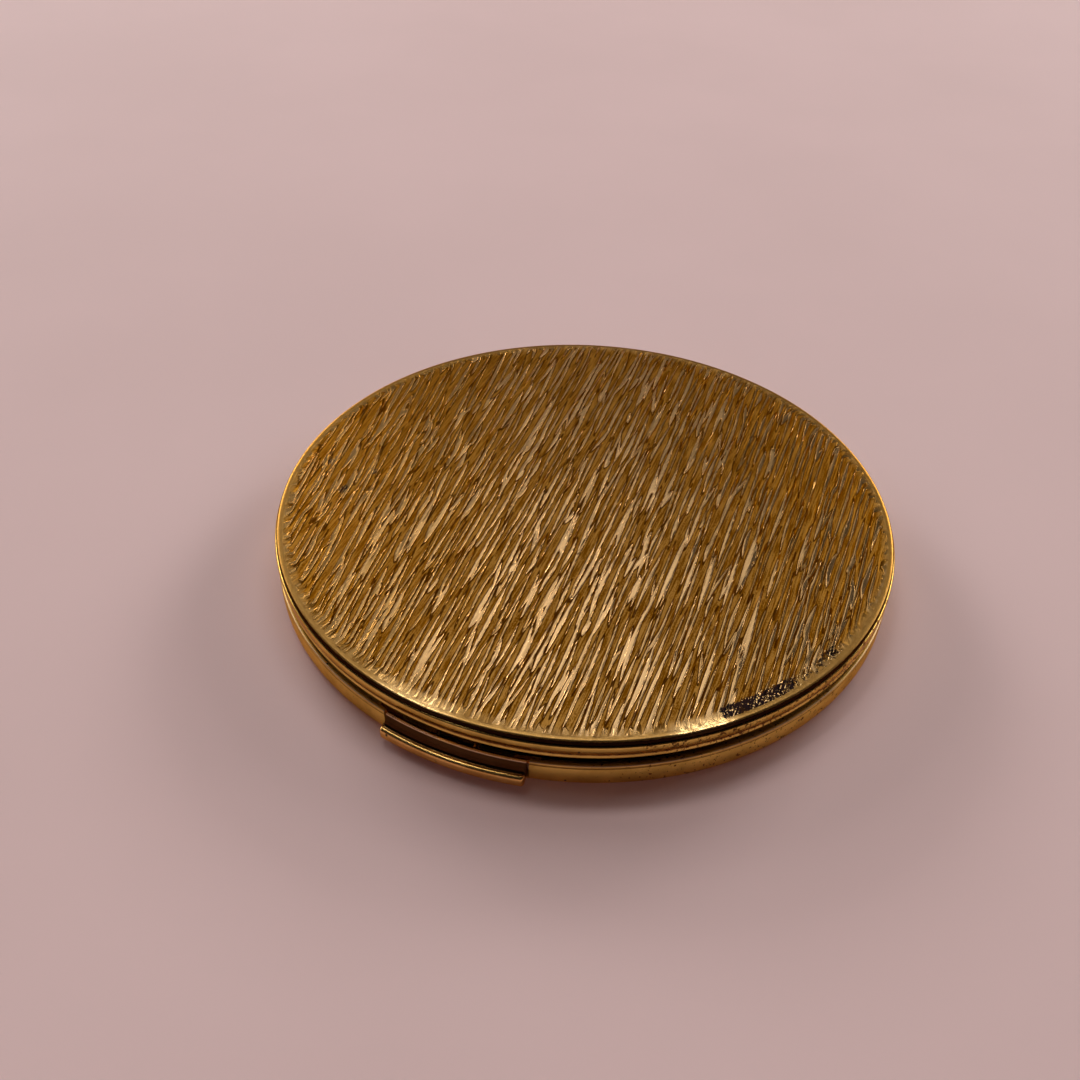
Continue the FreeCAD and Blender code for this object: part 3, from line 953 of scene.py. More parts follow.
@dataclass
class Lid:
    """The lid: bark-finished panel, beaded rim, mirror and the ring that holds it."""

    step_across: float = 0.11
    step_along: float = 0.42
    bark_share: float = 0.99
    edge_round: float = 0.45
    sheet: float = 0.4
    skirt_edge: float = 0.06
    groove: float = 0.1
    steps_round: int = 480
    margin_steps: tuple[float, ...] = (0.4, 0.7, 1.0)
    round_steps: int = 8
    follow: tuple[float, ...] = (1, 1, 1, 0.9, 0.75, 0.5, 0.3, 0.1)
    lift_most: float = 0.03
    wall_start: float = 0.02
    wall_drop: float = 0.07
    floor_drop: float = 0.04
    wall_width: float = 0.11
    land_reach: float = 0.4
    wave_height: float = 0.004
    waves: tuple[Corner, ...] = ((0.9, 0.33, 1.1), (1.7, -0.41, 0.0), (0.23, 0.61, 2.0))
    droop: float = 0.02
    droop_width: float = 1.6
    droop_past: float = 0.4
    droop_curve: float = 1.5
    rub_dent: float = 2.5
    rubs: tuple[tuple[float, Pair, Pair], ...] = ((1.0, (33, 37), (43, 46)), (0.6, (-17, -10), (-4, 2)))
    rub_width: Pair = (1.5, 0.6)
    stain: float = 0.7
    stain_band: tuple[Pair, Pair] = ((-2.9, -1.9), (-0.9, -0.5))
    stain_arc: tuple[Pair, Pair] = ((42, 44), (69, 75))
    stain_fade: tuple[float, float, float] = (0.28, 54, 60)
    spot: float = 0.75
    spot_core: float = 0.3
    spot_squash: float = 0.6
    spots: tuple[Corner, ...] = (
        (-0.875, -0.145, 0.7), (-0.76, -0.26, 0.9), (-0.71, -0.135, 0.6), (0.89, -0.36, 1.0))
    worn_edge: tuple[float, float, float] = (0.6, 0.9, 0.15)
    worn_arc: tuple[Pair, Pair] = ((30, 40), (80, 95))
    side_grime_and_shade: tuple[float, float, float] = (0.75, 0.09, 0.22)
    darker_sides_lean: float = 0.34
    handled: tuple[Corner, Corner] = ((0.8, 4, 26), (0.4, 6, 28))
    notch_clearance: float = 0.05
    bead: float = 0.6
    cove: float = 0.4
    bead_insets: tuple[float, ...] = (0.3, 0.06, 0.2, 0.13, 0.08)
    shoulder_drops: tuple[float, ...] = (0.4, 0.25, 0.07)
    rim_tarnish_and_shade: float = 0.7
    film_line: Pair = (0.02, 0.10)
    shoulder_shade: Pair = (1.22, 1.32)
    rim_side: float = 0.32
    rim_worn: tuple[Pair, Pair] = ((15, 40), (75, 100))
    rim_bare: float = 0.6
    ring_sheet: float = 0.35
    ring_lip: float = 1.0
    ring_rounds: Pair = (0.12, 0.18)
    glass_gap: float = 0.02
    glass_edge: float = 0.12
    aged_width: float = 4.0

    def build(self) -> None:
        """Builds and dresses every piece of the lid."""
        self.panel()
        self.rim()
        self.mirror()

    def panel(self) -> bpy.types.Object:
        """Builds the pressed cap with real bark relief in its top.

        Returns:
            The dressed panel.
        """
        low, high = limits("lid_panel")
        flat = high.x - self.edge_round
        reach = flat * self.bark_share
        x, y, quads, loop, turn = self.grid(reach)
        bark = BarkField(flat).cut(x, y)
        lift = np.clip(bark["lift"], -self.lift_most, self.lift_most) - self.lift_most
        top = np.stack([x, y, high.z + self.relief(x, y, bark["depth"]) + lift], 1)
        angles = np.linspace(-math.pi, math.pi, self.steps_round, endpoint=False)
        rings = [swung(radius, height, angles) for radius, height in self.skirt(low, high, reach)]
        for ring, share in zip(rings, self.follow):
            fall = self.relief(ring[:, 0], ring[:, 1], np.full(len(ring), -self.land_reach)) - self.lift_most
            ring[:, 2] += share * fall
        skin = sheets(rings, np.zeros((1, 2)), loop=True)
        points = np.concatenate([top, skin.points])
        faces = quads.tolist() + self.stitched(loop, turn, len(top), angles)
        faces += [[len(top) + index for index in face] for face in skin.faces]
        faces.append(list(range(len(points) - self.steps_round, len(points))))
        plain = np.full(len(skin.points), -self.land_reach)
        dull = np.full(len(skin.points), BarkField.margin_tone)
        masks = {"depth": np.maximum(np.concatenate([bark["depth"], plain]), -self.land_reach),
                 "tone": np.concatenate([bark["tone"], dull])} | self.wear(points)
        shape = Shape(points, faces, points[:, :2], masks)
        return Piece("bark_lid", Body.LID, BarkGold(), "gold_case", ("lid_panel",)).make(shape)

    def grid(self, reach: float) -> tuple[np.ndarray, np.ndarray, np.ndarray, np.ndarray, np.ndarray]:
        """Lays out the round sheet of quads that the bark is cut in.

        Args:
            reach: Radius of the sheet.

        Returns:
            Places across and along the grain, the quads, the points of the edge and their angles in order.
        """
        across = np.arange(-reach, reach, self.step_across)
        along = np.arange(-reach, reach, self.step_along)
        x, y = (grid.ravel() for grid in np.meshgrid(across, along, indexing="ij"))
        kept = (np.hypot(x, y) < reach - self.step_along).reshape(len(across), len(along))
        cells = kept[:-1, :-1] & kept[1:, :-1] & kept[:-1, 1:] & kept[1:, 1:]
        first = np.arange(len(x)).reshape(kept.shape)[:-1, :-1][cells]
        quads = np.stack([first, first + len(along), first + len(along) + 1, first + 1], 1)
        used, renumbered = np.unique(quads, return_inverse=True)
        quads = renumbered.reshape(quads.shape)
        x, y = x[used], y[used]
        edges = np.sort(np.stack([quads, np.roll(quads, -1, 1)], 2).reshape(-1, 2), 1)
        found, times = np.unique(edges, axis=0, return_counts=True)
        loop = np.unique(found[times == 1])
        turn = np.arctan2(y[loop], x[loop])
        loop, turn = loop[np.argsort(turn)], np.sort(turn)
        x[loop], y[loop] = reach * np.cos(turn), reach * np.sin(turn)
        return x, y, quads, loop, turn

    def relief(self, x: np.ndarray, y: np.ndarray, depth: np.ndarray) -> np.ndarray:
        """Height of the lid's top below its highest level.

        Args:
            x: Places across the grain.
            y: Places along it.
            depth: Millimetres inside a cut.

        Returns:
            Heights, at most zero.
        """
        wall = smooth(depth, self.wall_start, self.wall_width)
        floor = smooth(depth, self.wall_width, 3 * self.wall_width)
        cut = -self.wall_drop * wall + (self.wall_drop - self.floor_drop) * floor
        rolled = limits("lid_panel")[1].x - self.edge_round
        waves = sum(np.sin(across * x + along * y + start) for across, along, start in self.waves)
        bent = 1 + self.rub_dent * self.rubbed(x, y)
        near_edge = smooth(np.hypot(x, y), rolled - self.droop_width, rolled + self.droop_past)
        fall = self.droop * bent * near_edge ** self.droop_curve
        return cut + self.wave_height * (waves - len(self.waves)) - fall

    def skirt(self, low: Vector, high: Vector, reach: float) -> list[Pair]:
        """Draws the panel's edge.

        Args:
            low: The panel's lowest corner.
            high: Its highest corner.
            reach: Radius of the bark.

        Returns:
            Radius and height of each ring from the bark's edge down the skirt and in under the panel.
        """
        outer, inner = high.x, high.x - self.sheet
        flat = outer - self.edge_round
        rings = [(reach + (flat - reach) * share, high.z) for share in self.margin_steps]
        for share in np.linspace(0, 1, self.round_steps + 1)[1:]:
            angle = share * math.pi / 2
            drop = self.edge_round * (1 - math.cos(angle))
            rings.append((flat + self.edge_round * math.sin(angle), high.z - drop))
        return rings + [(outer, low.z + self.skirt_edge), (outer - self.skirt_edge, low.z), (inner, low.z),
                        (inner, high.z - self.sheet)]

    @staticmethod
    def stitched(loop: np.ndarray, turn: np.ndarray, start: int, angles: np.ndarray) -> list[list[int]]:
        """Joins the uneven edge of the bark to an even ring.

        Args:
            loop: Points of the edge, in order of angle.
            turn: Their angles.
            start: First point of the ring.
            angles: Angles of the ring.

        Returns:
            Triangles between the two.
        """
        faces = []
        inner, outer = 0, 0
        while inner < len(loop) or outer < len(angles):
            here = [int(loop[inner % len(loop)]), start + outer % len(angles)]
            next_inner = turn[inner + 1] if inner + 1 < len(loop) else turn[0] + 2 * math.pi
            next_outer = angles[outer + 1] if outer + 1 < len(angles) else angles[0] + 2 * math.pi
            if outer >= len(angles) or (inner < len(loop) and next_inner < next_outer):
                inner += 1
                faces.append(here + [int(loop[inner % len(loop)])])
            else:
                outer += 1
                faces.append(here + [start + outer % len(angles)])
        return faces

    def wear(self, points: np.ndarray) -> dict[str, np.ndarray]:
        """Where the plate is stained black, and where it is rubbed and carries a painted highlight.

        Args:
            points: All points of the panel.

        Returns:
            Masks of stain; of dirt and painted shade down the side; of rubbed plate that carries a painted
            highlight; and of plate darker towards the left and right sides.
        """
        outer, _, top = limits("lid_panel")[1]
        x, y, height = points.T
        radius, turn = polar(points)
        arc = between(turn, *self.stain_arc) * (1 - self.stain_fade[0] * smooth(turn, *self.stain_fade[1:]))
        stain = self.stain * between(radius - outer, *self.stain_band) * arc
        for spot_x, spot_y, size in self.spots:
            away = np.hypot(x - spot_x * outer, self.spot_squash * (y - spot_y * outer))
            stain = np.maximum(stain, self.spot * (1 - smooth(away, self.spot_core * size, size)))
        ring = self.worn_edge[0] + self.worn_edge[1] * between(turn, *self.worn_arc)
        edge = smooth(radius - outer + self.edge_round + self.worn_edge[2] + ring, 0, ring)
        # Dirt and painted shade down the rolled edge and skirt, under the top.
        film = self.side_grime_and_shade[0] * smooth(top - height, *self.side_grime_and_shade[1:])
        # Plate darker towards the left and right sides of the lid.
        sideways = x + self.darker_sides_lean * y
        left, right = self.handled
        handled = left[0] * smooth(-sideways, *left[1:]) + right[0] * smooth(sideways, *right[1:])
        # Rubbed plate, which the finish paints with a highlight.
        bright = np.clip(self.rubbed(x, y), 0, 1)
        return {"stain": stain, "bright": bright, "film": film, "edge": edge, "handled": handled}

    def rubbed(self, x: np.ndarray, y: np.ndarray) -> np.ndarray:
        """Where the margin is rubbed and slightly bent: beside the stain, and over the catch.

        Args:
            x: Places across the grain.
            y: Places along it.

        Returns:
            A mask from 0 to 1.
        """
        flat = limits("lid_panel")[1].x - self.edge_round
        radius, turn = polar(np.stack([x, y], 1))
        arcs = sum(share * between(turn, rise, fall) for share, rise, fall in self.rubs)
        return arcs * smooth(radius, flat - self.rub_width[0], flat - self.rub_width[1])

    def rim(self) -> bpy.types.Object:
        """Builds the beaded band with a neck inside the panel's skirt.

        Returns:
            The dressed rim.
        """
        low, high = limits("lid_rim")
        seat, outer = limits("lid_panel")[0].z, limits("base_shell")[1].x
        bore = limits("mirror_bezel")[1].x + self.notch_clearance
        neck = limits("lid_panel")[1].x - self.sheet - self.notch_clearance
        waist, top = low.z + self.bead, seat - self.groove
        foot, swell, pinch, hollow, shoulder = (outer - inset for inset in self.bead_insets)
        straight, bend, turn_in = (top - drop for drop in self.shoulder_drops)
        crown = np.concatenate([
            arc_through((foot, low.z), (swell, low.z + self.bead / 2), (pinch, waist), 8),
            arc_through((pinch, waist), (hollow, waist + self.cove / 2), (outer, waist + self.cove), 6),
            arc_through((outer, waist + self.cove), (outer, straight), (outer, bend), 2),
            arc_through((outer, bend), (shoulder, turn_in), (foot, top), 6),
        ])
        inside = [(foot, top), (neck, top), (neck, high.z), (bore, high.z), (bore, low.z)]
        half = limits("lid_hinge_leaf")[1].x + self.notch_clearance
        outline = np.concatenate([crown, np.array(inside)])
        shape = turned(outline, self.steps_round, [Notch(BACK, half, seat, high.z)])
        shape.masks = self.rim_wear(shape.points, waist, outer)
        return Piece("beaded_rim", Body.LID, CaseGold(), "gold_case", ("lid_rim",), 60).make(shape)

    def rim_wear(self, points: np.ndarray, groove: float, outer: float) -> dict[str, np.ndarray]:
        """Where the rim is worn and where shade is painted on it.

        Args:
            points: All points of the rim.
            groove: Height of the groove between its beads.
            outer: Its radius.

        Returns:
            Masks of tarnish in the groove and painted shade on the shoulder, of specks towards the
            stained side and of bare edges.
        """
        radius, turn = polar(points)
        height = points[:, 2]
        outside = radius > outer - self.rim_side
        line = 1 - smooth(np.abs(height - groove), *self.film_line)
        # Painted shade on the shoulder under the panel's rolled edge.
        shoulder = smooth(height - groove, *self.shoulder_shade)
        edge = 1 - smooth(height - height.min(), *self.film_line)
        return {"film": self.rim_tarnish_and_shade * np.maximum(line, shoulder) * outside,
                "worn": between(turn, *self.rim_worn), "edge": self.rim_bare * edge * outside}

    def mirror(self) -> None:
        """Builds the looking glass and the ring that holds it."""
        low, high = limits("mirror_bezel")
        glass_low, glass_high = limits("mirror_glass")
        inner = high.x - self.ring_sheet
        lip = inner - self.ring_lip
        ring = rounded([
            (lip, low.z, self.ring_rounds[0]), (high.x, low.z, self.ring_rounds[1]), (high.x, high.z, 0),
            (inner, high.z, 0), (inner, glass_low.z, 0), (lip, glass_low.z, self.ring_rounds[0])], 5)
        Piece("mirror_ring", Body.LID, InnerGold(), "gold_inner", ("mirror_bezel",)).make(turned(ring))
        outer, aged = glass_high.x - self.glass_gap, glass_high.x - self.aged_width
        glass = rounded([
            (0, glass_low.z, 0), (outer, glass_low.z, self.glass_edge),
            (outer, glass_high.z, self.glass_edge), (0, glass_high.z, 0)], 3)
        shape = turned(np.insert(glass, 1, [[aged, glass_low.z]], axis=0))
        shape.masks = {"aged": smooth(polar(shape.points)[0], aged, glass_high.x)}
        Piece("mirror_disc", Body.LID, LookingGlass(), "looking_glass", ("mirror_glass",)).make(shape)


@dataclass
class Base:
    """The base: pressed cup, inner ring of the well, powder tin and pressed powder."""

    sheet: float = 0.55
    foot_round: float = 1.0
    edge_round: float = 0.2
    floor_round: float = 0.3
    bead: Pair = (0.42, 0.07)
    line_depth: float = 0.04
    line_film: float = 0.01
    side: float = 0.2
    bare: tuple[float, float, float] = (0.6, 0.18, 0.02)
    worn: float = 0.6
    worn_arc: tuple[Pair, Pair] = ((10, 40), (60, 90))
    steps_round: int = 480
    collar_foot: float = 0.5
    collar_sheet: float = 0.5
    collar_rounds: tuple[float, float, float] = (0.12, 0.2, 0.22)
    collar_grime_and_shade: Pair = (0.1, 0.5)
    tin_sheet: float = 0.3
    tin_rounds: tuple[float, float, float] = (0.4, 0.12, 0.1)
    cake_edge: float = 0.35
    cake_rings: int = 9
    cake_ring_steps: int = 4
    cake_ridge: float = 0.05
    cake_under: float = 0.06
    cake_hollow: float = 0.25
    cake_steps: int = 300
    notch_clearance: float = 0.05
    catch_gap: float = 0.25
    catch_under: float = 0.15

    def build(self) -> None:
        """Builds and dresses every piece of the base."""
        self.cup()
        self.well()
        self.powder()

    def cup(self) -> bpy.types.Object:
        """Builds the pressed cup, notched for the catch and the hinge.

        Returns:
            The dressed cup.
        """
        low, high = limits("base_shell")
        outer, inner, floor = high.x, high.x - self.sheet, low.z + self.sheet
        groove = high.z - self.bead[0]
        outline = rounded([
            (0, low.z, 0), (outer, low.z, self.foot_round), (outer, groove - self.bead[1], 0),
            (outer - self.line_depth, groove, 0), (outer, groove + self.bead[1], 0),
            (outer, high.z, self.edge_round), (inner, high.z, self.edge_round),
            (inner, floor, self.floor_round), (0, floor, 0)], 8)
        catch_half = outer * math.sin(Catch.half_angle) + self.catch_gap
        hinge_half = limits("base_hinge_leaf")[1].x + self.notch_clearance
        notches = [Notch(FRONT, catch_half, low.z, limits("thumb_catch")[0].z - self.catch_under),
                   Notch(BACK, hinge_half, low.z, floor)]
        shape = turned(outline, self.steps_round, notches)
        radius, turn = polar(shape.points)
        height = shape.points[:, 2]
        outside = radius > outer - self.side
        line = (1 - smooth(np.abs(height - groove), self.line_film, self.bead[1])) * outside
        edge = self.bare[0] * smooth(height, high.z - self.bare[1], high.z - self.bare[2]) * outside
        shape.masks = {"worn": self.worn * between(turn, *self.worn_arc), "film": line, "edge": edge}
        return Piece("base_cup", Body.BASE, SatinGold(), "gold_case", ("base_shell",)).make(shape)

    def well(self) -> bpy.types.Object:
        """Builds the ring that keeps the powder in.

        Returns:
            The dressed ring.
        """
        low, high = limits("well_collar")
        wall = high.x - self.collar_foot
        inner, step = wall - self.collar_sheet, low.z + self.collar_sheet
        toe, corner, top = self.collar_rounds
        shape = turned(rounded([
            (inner, low.z, 0), (high.x, low.z, 0), (high.x, step, toe), (wall, step, corner),
            (wall, high.z, top), (inner, high.z, top)], 5))
        # Dirt and painted shade on the outer wall, in the gap under the lid.
        outward = smooth(polar(shape.points)[0], wall - self.collar_grime_and_shade[0], wall)
        upward = smooth(shape.points[:, 2], high.z - self.collar_grime_and_shade[1], high.z)
        shape.masks = {"film": outward * (1 - upward)}
        return Piece("well_ring", Body.BASE, InnerGold(), "gold_inner", ("well_collar",)).make(shape)

    def powder(self) -> None:
        """Builds the tin and the powder pressed into it."""
        low, high = limits("powder_pan")
        inner, floor = high.x - self.tin_sheet, low.z + self.tin_sheet
        foot, lip, corner = self.tin_rounds
        tin = turned(rounded([
            (0, low.z, 0), (high.x, low.z, foot), (high.x, high.z, lip), (inner, high.z, lip),
            (inner, floor, corner), (0, floor, 0)], 4))
        Piece("powder_tin", Body.BASE, Tin(), "pan_tin", ("powder_pan",)).make(tin)
        low, high = limits("powder_cake")
        outline = [(0, low.z), (high.x, low.z), (high.x, high.z - self.cake_edge)]
        steps = self.cake_rings * self.cake_ring_steps
        for step in range(steps, -1, -1):
            radius = (high.x - self.cake_edge) * step / steps
            ridge = self.cake_ridge * math.cos(2 * math.pi * step / self.cake_ring_steps)
            hollow = self.cake_hollow * (1 - (radius / high.x) ** 2)
            outline.append((radius, high.z - self.cake_under + ridge - hollow))
        cake = turned(np.array(outline), self.cake_steps)
        Piece("powder_disc", Body.BASE, Powder(), "powder", ("powder_cake",)).make(cake)


@dataclass
class Puff:
    """The puff: a soft velour pad with a satin finger band across it."""

    seed: int = 17
    seam: float = 0.22
    seam_width: float = 0.16
    side_steps: int = 25
    side_inset: float = 1.3
    side_bulge: float = 1.2
    side_power: float = 0.6
    crown_drop: float = 0.1
    crown_radii: tuple[float, ...] = (30.0, 26.0, 20.0, 13.0, 6.0, 0.0)
    sole_lift: float = 0.02
    sole_radii: tuple[float, ...] = (0.0, 12.0, 22.0, 30.0)
    steps_round: int = 240
    waves: tuple[int, ...] = (3, 5, 8, 13)
    wave_height: float = 0.05
    shrink: float = 0.2
    shrink_from: float = 20.0
    sink: Pair = (0.06, 0.02)
    dimple: float = 0.5
    dimple_radii: Pair = (4, 24)
    band_lift: float = 0.02
    band_thickness: float = 0.12
    band_grid: tuple[int, int] = (90, 16)
    band_waist: float = 0.05
    band_sag: float = 0.012
    band_waves: Pair = (9, 3)
    band_crown: float = 0.03
    band_clear: float = 0.02

    def build(self) -> None:
        """Builds and dresses the pad and its band."""
        self.pad()
        self.band()

    def pad(self) -> bpy.types.Object:
        """Builds the crowned pad, pulled in along its seam.

        Returns:
            The dressed pad.
        """
        low, high = limits("puff")
        chance = np.random.default_rng(self.seed)
        middle = (low.z + high.z) / 2
        half = (high.z - low.z) / 2
        side = []
        for angle in np.linspace(-math.pi / 2, math.pi / 2, self.side_steps):
            bulge = math.cos(angle) ** self.side_power if abs(angle) < math.pi / 2 - SPLIT else 0.0
            pulled = self.seam * math.exp(-(angle / self.seam_width) ** 2)
            radius = high.x - self.side_inset + self.side_bulge * bulge - pulled
            side.append((radius, middle + half * math.sin(angle)))
        crown = [(r, high.z - self.crown_drop * (r / high.x) ** 4) for r in self.crown_radii]
        sole = [(r, low.z + self.sole_lift) for r in self.sole_radii]
        shape = turned(np.array(sole + side + crown), self.steps_round)
        turn = np.arctan2(shape.points[:, 1], shape.points[:, 0])
        radius = polar(shape.points)[0]
        ripple = np.zeros_like(turn)
        for wave in self.waves:
            ripple += self.wave_height * np.sin(wave * turn + chance.uniform(0, 2 * math.pi))
        shrink = 1 - (self.shrink + ripple) / high.x * smooth(radius, self.shrink_from, high.x)
        shape.points[:, :2] *= shrink[:, None]
        upper = smooth(shape.points[:, 2], middle, high.z)
        dimple = self.dimple * ripple * smooth(radius, *self.dimple_radii)
        shape.points[:, 2] -= upper * (self.sink[0] + dimple + self.sink[1])
        pad = Piece("velour_puff", Body.BASE, Velour(), "puff_velour", ("puff",), 180).make(shape)
        return pad

    def band(self) -> bpy.types.Object:
        """Builds the satin band, stretched from edge to edge.

        Returns:
            The dressed band.
        """
        low, high = limits("puff_ribbon")
        lengths, widths = (np.linspace(-1, 1, count) for count in self.band_grid)
        rows = []
        for share in lengths:
            free = 1 - share ** 2
            waist = 1 - self.band_waist * free
            sag = self.band_sag * np.sin(self.band_waves[0] * share + self.band_waves[1] * widths) * free
            height = low.z + self.band_lift + self.band_crown * free + sag + self.band_clear
            along, across = np.full_like(widths, share * high.x), widths * high.y * waist
            rows.append(np.column_stack([along, across, height]))
        run = np.stack(np.meshgrid(lengths * high.x, widths * high.y, indexing="ij"), 2).reshape(-1, 2)
        shape = sheets(rows, run, loop=False)
        band = Piece("satin_band", Body.BASE, Satin(), "satin_ribbon", ("puff_ribbon",)).make(shape)
        thick = band.modifiers.new("thickness", "SOLIDIFY")
        thick.thickness = self.band_thickness * MM
        return band


@dataclass
class Catch:
    """The thumb catch: a rolled lip on a curved plate, with two ears that stop behind the wall."""

    half_angle: float = math.radians(12.2)
    lip_steps: int = 61
    lip_run: float = 8.0
    lip_pitch: float = 0.15
    end_run: float = 0.3
    end_share: float = 0.5
    lip_round: float = 0.65
    lip_foot: Corner = (0.1, 0.05, 0.25)
    crest_round: float = 0.3
    crest_flat: float = 0.14
    crest_slope: float = math.radians(21.5)
    crest_start: float = math.radians(100)
    crest_meet: Pair = (0.1, 0.03)
    hollow: Pair = (0.40, 0.22)
    plate: float = 0.6
    plate_edge: float = 0.18
    plate_drop: float = 0.05
    plate_bevel: float = 0.3
    # Painted shade in the lip's hollow: strength, inset from the crest and ease.
    film: tuple[float, float, float] = (0.8, 0.05, 0.3)
    shade_below: float = 0.2
    worn: float = 0.1
    bare: Pair = (0.8, 0.1)
    ear_sheet: float = 0.4
    ear_height: float = 0.6
    ear_lap: float = 0.1
    ear_half: float = math.radians(2.2)
    ear_steps: int = 7
    spring_edge: float = 0.05
    spring_waist: float = 0.5
    spring_steps: int = 41
    waist_ease: Pair = (0.3, 1.1)
    travel: float = 0.6
    loop_edge: float = 0.05

    def build(self) -> None:
        """Builds the lip and the spring behind it, and dresses the hidden loop."""
        self.lip()
        self.spring()
        dress("catch_loop", InnerGold(), self.loop_edge)

    def spring(self) -> bpy.types.Object:
        """Builds the bowed leaf spring behind the catch.

        Returns:
            The dressed spring.
        """
        low, high = limits("catch_spring")
        half = math.asin(high.x / -low.y)
        inner, outer = -high.y / math.cos(half), -low.y
        section = oblong((inner, low.z), (outer, high.z), self.spring_edge, 3)
        hook = limits("lid_hook")[1].x
        rows = []
        for turn in FRONT + np.linspace(-half, half, self.spring_steps):
            aside = abs(outer * math.cos(turn)) - hook
            full = float(smooth(np.array(aside), *self.waist_ease))
            tall = 1 - (1 - full) * self.spring_waist / (high.z - low.z)
            rows.append(swung(section[:, 0], low.z + (section[:, 1] - low.z) * tall, turn))
        made = Piece("leaf_spring", Body.BASE, Steel(), "steel", ("catch_spring",)).make(capped(rows))
        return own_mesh(made)

    def section(self, rim: float) -> tuple[np.ndarray, Pair]:
        """Draws the section of the lip and its plate.

        Args:
            rim: Radius of the case.

        Returns:
            The closed outline, and the radius and height of the crest.
        """
        low, high = limits("thumb_catch")
        outer, inner = -low.y, rim - self.plate
        step = self.crest_flat * np.array([math.cos(self.crest_slope), -math.sin(self.crest_slope)])
        crest = outer - self.crest_round - step[0], low.z + 2 * self.lip_round
        hollow = rim + self.hollow[0] * (crest[0] - rim), crest[1] + self.hollow[1] * (high.z - crest[1])
        meet = crest[0] - self.crest_meet[0], crest[1] - self.crest_meet[1]
        top = arc_through((rim, high.z - self.plate_drop), hollow, meet, 12)
        worn = math.pi / 2 - self.crest_slope
        angles = np.concatenate([np.linspace(self.crest_start, worn, 4), np.linspace(worn, 0, 10)])
        roll = np.stack([crest[0] + self.crest_round * np.cos(angles),
                         crest[1] + self.crest_round * (np.sin(angles) - 1)], 1)
        roll[4:] += step
        drop, lean, heel = self.lip_foot
        face = rounded([(outer, roll[-1, 1] - drop, 0), (outer - lean, low.z, heel), (inner, low.z, 0)], 6)
        edge = [(inner, high.z - self.plate_bevel), (rim - self.plate_edge, high.z)]
        return np.concatenate([edge, top, roll, face]), crest

    def lip(self) -> bpy.types.Object:
        """Builds the lip with its hollow top and rounded ends.

        Returns:
            The dressed catch.
        """
        high = limits("thumb_catch")[1].z
        rim = limits("base_shell")[1].x
        outline, crest = self.section(rim)
        past = np.maximum(outline[:, 0] - rim, 0)
        rows = []
        for share in np.sin(np.linspace(-math.pi / 2, math.pi / 2, self.lip_steps)):
            left = (1 - abs(share)) * self.half_angle * rim
            ease = math.sqrt(max(0.0, 1 - (1 - min(left / self.end_run, 1)) ** 2))
            drawn_in = past * (1 - self.end_share) * (1 - ease)
            rows.append(swung(outline[:, 0] - drawn_in, outline[:, 1], FRONT + share * self.half_angle))
        body = capped(rows)
        run = np.repeat(np.linspace(-self.lip_run, self.lip_run, self.lip_steps), len(outline))
        rise = np.tile(np.arange(len(outline)) * self.lip_pitch, self.lip_steps)
        body.texture = np.stack([run, rise], 1)
        radius, height = polar(body.points)[0], body.points[:, 2]
        # Painted shade over the hollow top, reaching just below the crest.
        strength, inset, ease_in = self.film
        tops = smooth(crest[0] - inset - radius, 0.0, ease_in) * (height > crest[1] - self.shade_below)
        bare = (np.abs(radius - rim + self.plate_edge / 2) < self.plate_edge) & (height > high - self.bare[1])
        body.masks = {"film": strength * tops * ~bare, "worn": np.full(len(radius), self.worn),
                      "edge": self.bare[0] * bare}
        piece = Piece("thumb_lip", Body.CATCH, CatchGold(), "gold_case", ("thumb_catch",), 50)
        return piece.make(body, *self.ears(rim - self.plate, high - self.plate_bevel))

    def ears(self, inner: float, top: float) -> list[Shape]:
        """Builds the two ears behind the wall.

        Args:
            inner: Radius of the back of the plate.
            top: Height of the ears' upper edge.

        Returns:
            One closed shape each.
        """
        back, front, foot = inner - self.ear_sheet, inner + self.ear_lap, top - self.ear_height
        radii, heights = np.array([(back, foot), (front, foot), (front, top), (back, top)]).T
        turns = np.linspace(-self.ear_half, self.ear_half, self.ear_steps)
        return [capped([swung(radii, heights, turn) for turn in FRONT + side * self.half_angle + turns])
                for side in (-1, 1)]


